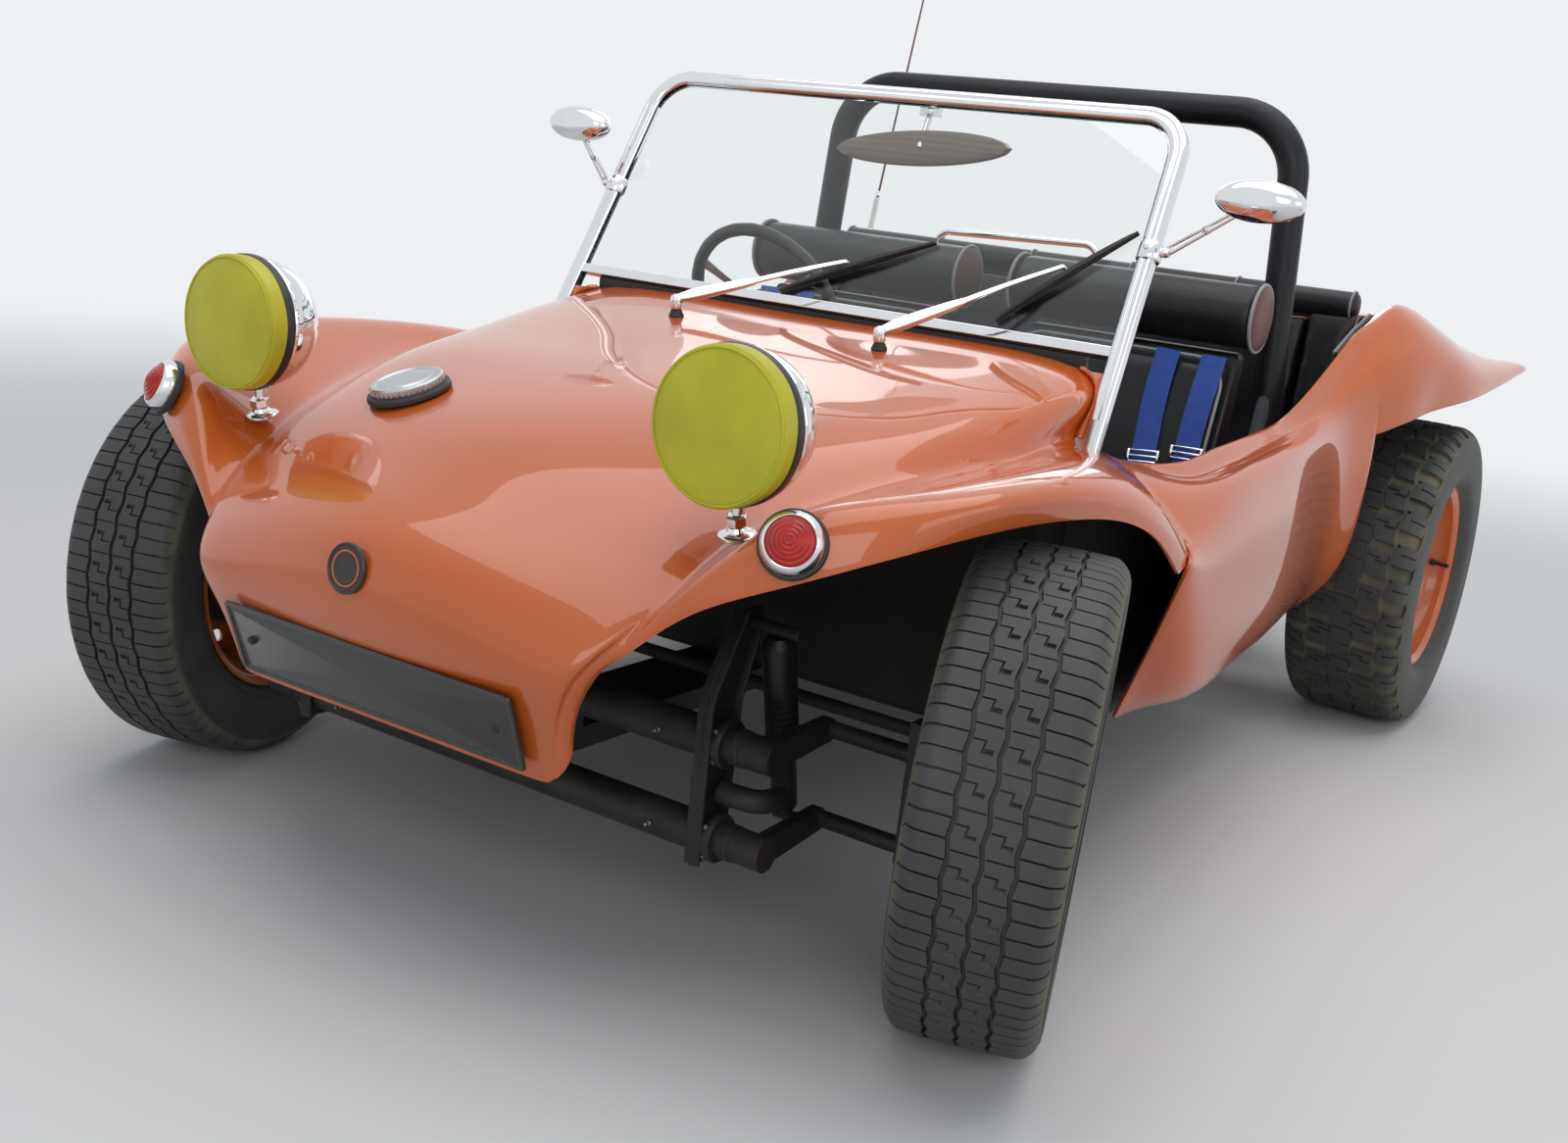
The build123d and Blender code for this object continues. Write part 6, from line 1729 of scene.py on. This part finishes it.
make_piece("gauge_bezels", bezels, "chrome", "dashboard", sharp=30)
make_piece("gauge_faces", faces, "plastic_black", "dashboard", "black_vinyl", 30)
make_piece("gauge_marks", marks, "dial_white", "dashboard", "black_vinyl")
switch = np.array([(0, 7), (3, 7), (4, 4), (14, 3.4), (17, 5), (20, 4.4), (21, 0.01)]) * [0.45, 1]
switches = [turned(switch, at(-639, y, 678), -forward, 24) for y in (-300, -265, -335, 60, 95)]
make_piece("dash_switches", switches, "chrome", "dashboard")

# %% [markdown]
# ## Running gear
#
# The front beam is two tubes one above the other, held by a tower at each end, with trailing
# arms behind them. The arms keep their CAD shape. The beam is built again with what the CAD
# model leaves out: end rings, clamp nuts, grease nipples and the loop of tube between the beams.
# The shock absorbers get ribbed dust sleeves.

# %% Details of the front beam
beam_x, beam_levels, beam_half, tower_y = 155, (205, 338), 400, 375
collar = [(-3, 26), (-3, 32), (0, 34), (8, 34), (11, 32), (11, 26)]
lock = [(0, 23.5), (0, 25), (6, 25.5), (7, 24.5), (8, 25.5), (9, 24.5), (10, 25.5), (16, 25), (16, 23.5)]
nipple = [(0, 0.01), (0, 4), (5, 4), (6, 2.4), (10, 2.4), (12, 3.2), (14, 1.5), (14, 0.01)]
clamp_nut = [(0, 0.01), (0, 5), (4, 5), (4.6, 4), (4.6, 0.01)]
rings, nuts = [], []
for side in (-1, 1):
    for z in beam_levels:
        rings.append(turned(collar, at(beam_x, side * (beam_half - 11), z), left * side, 48, closed=True))
        rings.append(turned(lock, at(beam_x, side * 408, z), left * side, 40, closed=True))
        nuts.append(turned(nipple, at(beam_x + 26, side * 300, z), forward, 6))
        for spoke in spokes_of(np.radians([40, 140, 220, 320]), forward, upward):
            spot = at(beam_x, side * 388, z) + 31.5 * mm * spoke
            nuts.append(turned(clamp_nut, spot, left * side, 6))
    corners = [at(x, side * y, z) for x, y, z in ((150, 388, 268), (150, 446, 268), (98, 446, 262))]
    rings.append(carried(rounded_path(corners, 26, 10), round_section(16, 28)))
make_piece("beam_rings", rings, "black_chassis", "front_beam")
beam_parts = [bar(at(beam_x, -beam_half, z), at(beam_x, beam_half, z), 27, 48, 2) for z in beam_levels]
tower = [(128, 168), (186, 168), (190, 400), (130, 510), (80, 510), (120, 390)]
lips = [((130, 170), (122, 392), (84, 506)), ((184, 170), (187, 398), (128, 507))]
for side in (-1, 1):
    beam_parts.append(side_view(tower, side * tower_y - 2.5, side * tower_y + 2.5, 2))
    for lip in lips:
        path = rounded_path([at(x, side * tower_y, z) for x, z in lip], 60, 10)
        beam_parts.append(carried(path, rounded_outline(12, 2.5, 1.5), [1, 0, 0.2]))
    beam_parts.append(bar(at(105, side * 378, 492), at(105, side * 455, 492), 9, 24, 1))
make_piece("front_beam_tubes", beam_parts, "black_chassis", "front_beam", sharp=30)
make_piece("beam_nuts", nuts, "steel", "front_beam", "black_chassis", 30)

# %% Shock absorbers with ribbed sleeves
shock_table = [
    # foot (x, y, z) and top (x, y, z), tube radius
    (36, 420, 222.1, 102.7, 420, 482.9, 23),
    (-2015, 500, 399.4, -1810, 478, 577.8, 25),
]
rib_count, rib_pitch = 7, 9
sleeves, rods = [], []
for side in (-1, 1):
    for x1, y1, z1, x2, y2, z2, radius in shock_table:
        foot, top = at(x1, side * y1, z1), at(x2, side * y2, z2)
        length = np.linalg.norm(top - foot) / mm
        start = 0.44 * length
        ribs = [(start, radius - 4.5), (start, radius)]
        for a in start + 4 + rib_pitch * np.arange(rib_count):
            ribs += [(a, radius), (a + 1.5, radius - 2), (a + 5, radius - 2), (a + 6.5, radius)]
        ribs += [(length - 14, radius), (length - 8, radius - 3), (length, radius - 8), (length, 0.01)]
        sleeves.append(turned(ribs, foot, top - foot, 36))
        lower = [(0, 0.01), (0, radius - 12), (6, radius - 7), (12, radius - 5), (start + 4, radius - 5),
                 (start + 4, 0.01)]
        rods.append(turned(lower, foot, top - foot, 36))
make_piece("shock_sleeves", sleeves, "black_tube", "shock_absorbers", sharp=30)
make_piece("shock_bodies", rods, "black_chassis", "shock_absorbers", "black_tube", 30)

# %% [markdown]
# ## Engine
#
# The flat four stands open behind the body, so it is seen from behind and from the sides. Fins,
# fan housing, generator and exhaust are its signs. The fan housing is pressed sheet with round
# shoulders, and the round opening shows the blower wheel. Leads run from the distributor to the
# four plugs as hanging cables.

# %% Fan housing with its blower
shroud_outline = [
    (-317, 444), (-317, 520), (-252, 636), (-156, 690), (-146, 752), (-86, 806), (86, 806), (146, 752),
    (156, 690), (252, 636), (317, 520), (317, 444), (206, 444), (152, 508), (-152, 508), (-206, 444),
]
ring = np.array([at(-2241, y, z) for y, z in shroud_outline])
shroud = make_piece("fan_housing", slab(ring, -forward * 128 * mm), "black_tube", "fan_shroud")
cut(shroud, turned([(0, 0.001), (0, 90), (69, 90), (69, 0.001)], at(-2230, 0, 665), -forward, 64))
bevelled(shroud, 9, 4, 25)
blower = at(-2262, 0, 665)
blade_count, blade_sweep = 28, 0.22
blades = [
    turned([(-38, 0.01), (-38, 34), (-34, 38), (6, 30), (10, 0.01)], blower, forward, 40),
    turned([(-38, 76), (-38, 84), (-34, 86), (-30, 84), (-30, 76)], blower, forward, 56, closed=True),
]
for t in circle(blade_count):
    spoke, swept = spokes_of([t, t + blade_sweep], left, upward)
    blade = blower + mm * np.array([spoke * 34 - forward * 36, swept * 80 - forward * 34,
                                    swept * 82 + forward * 4, spoke * 34 + forward * 6])
    blades.append(slab(blade, np.cross(forward, spoke) * 1.6 * mm))
make_piece("blower", blades, "aluminium", "fan_shroud")

# %% Distributor, plug leads, coil and oil filler
distributor = at(-2485, 66, 500)
body_profile = [(0, 0.01), (0, 16), (30, 16), (34, 26), (48, 26), (48, 0.01)]
cap_profile = [(48, 0.01), (48, 27), (56, 28), (66, 26), (74, 19), (76, 0.01)]
filler_profile = [(0, 0.01), (0, 20), (70, 20), (74, 26), (84, 26), (88, 22), (90, 0.01)]
fittings, leads = [turned(cap_profile, distributor, upward, 32)], []
share = np.linspace(0, 1, 28)[:, None]
for k, (x, y) in enumerate([(-2262, 205), (-2412, 205), (-2262, -205), (-2412, -205)]):
    t = 0.6 + 2 * math.pi * k / 5
    tower_base = distributor + 15 * mm * spokes_of(t, forward, left) + 74 * mm * upward
    tower_top, plug = tower_base + 12 * mm * upward, at(x, y, 436)
    fittings.append(bar(tower_base, tower_top, 4.6, 12, 1))
    rise, bend = tower_top + 30 * mm * upward, 0.5 * (tower_top + plug) + 60 * mm * upward
    line = ((1 - share) ** 3 * tower_top + 3 * share * (1 - share) ** 2 * rise
            + 3 * share ** 2 * (1 - share) * bend + share ** 3 * plug)
    leads.append(carried(line, round_section(3.4, 10), forward + 0.3 * left))
    fittings.append(bar(plug + 8 * mm * upward, plug, 7, 14, 2))
fittings.append(turned(filler_profile, at(-2400, -78, 498), upward, 32))
fittings.append(bar(at(-2376, 92, 668), at(-2376, 92, 560), 24, 32, 3))
make_piece("engine_fittings", fittings, "plastic_black", sharp=35)
make_piece("distributor_body", turned(body_profile, distributor, upward, 32), "cast_aluminium",
           slot="aluminium", sharp=35)
make_piece("plug_leads", leads, "rubber", sharp=60)

# %% [markdown]
# ## Parts that keep their CAD shape
#
# The rest is carried over as it is, and only gets its finish. A table names it, which also shows
# at a glance what was left alone.

# %% Finishes for the carried-over parts
carried_over = {
    "floor_pan": "black_chassis", "front_links": "black_chassis", "knuckle_left": "iron",
    "knuckle_right": "iron", "track_rod": "black_chassis", "rear_axle": "black_chassis",
    "transaxle": "cast_aluminium", "engine_case": "cast_aluminium", "cylinder_banks": "cast_aluminium",
    "generator": "iron", "carburettor": "black_tube", "exhaust": "steel", "tail_lamps": "lens_red",
}
for name, look in carried_over.items():
    nodes[name].data.materials.clear()
    nodes[name].data.materials.append(looks[look])
print("carried over", sorted(carried_over))
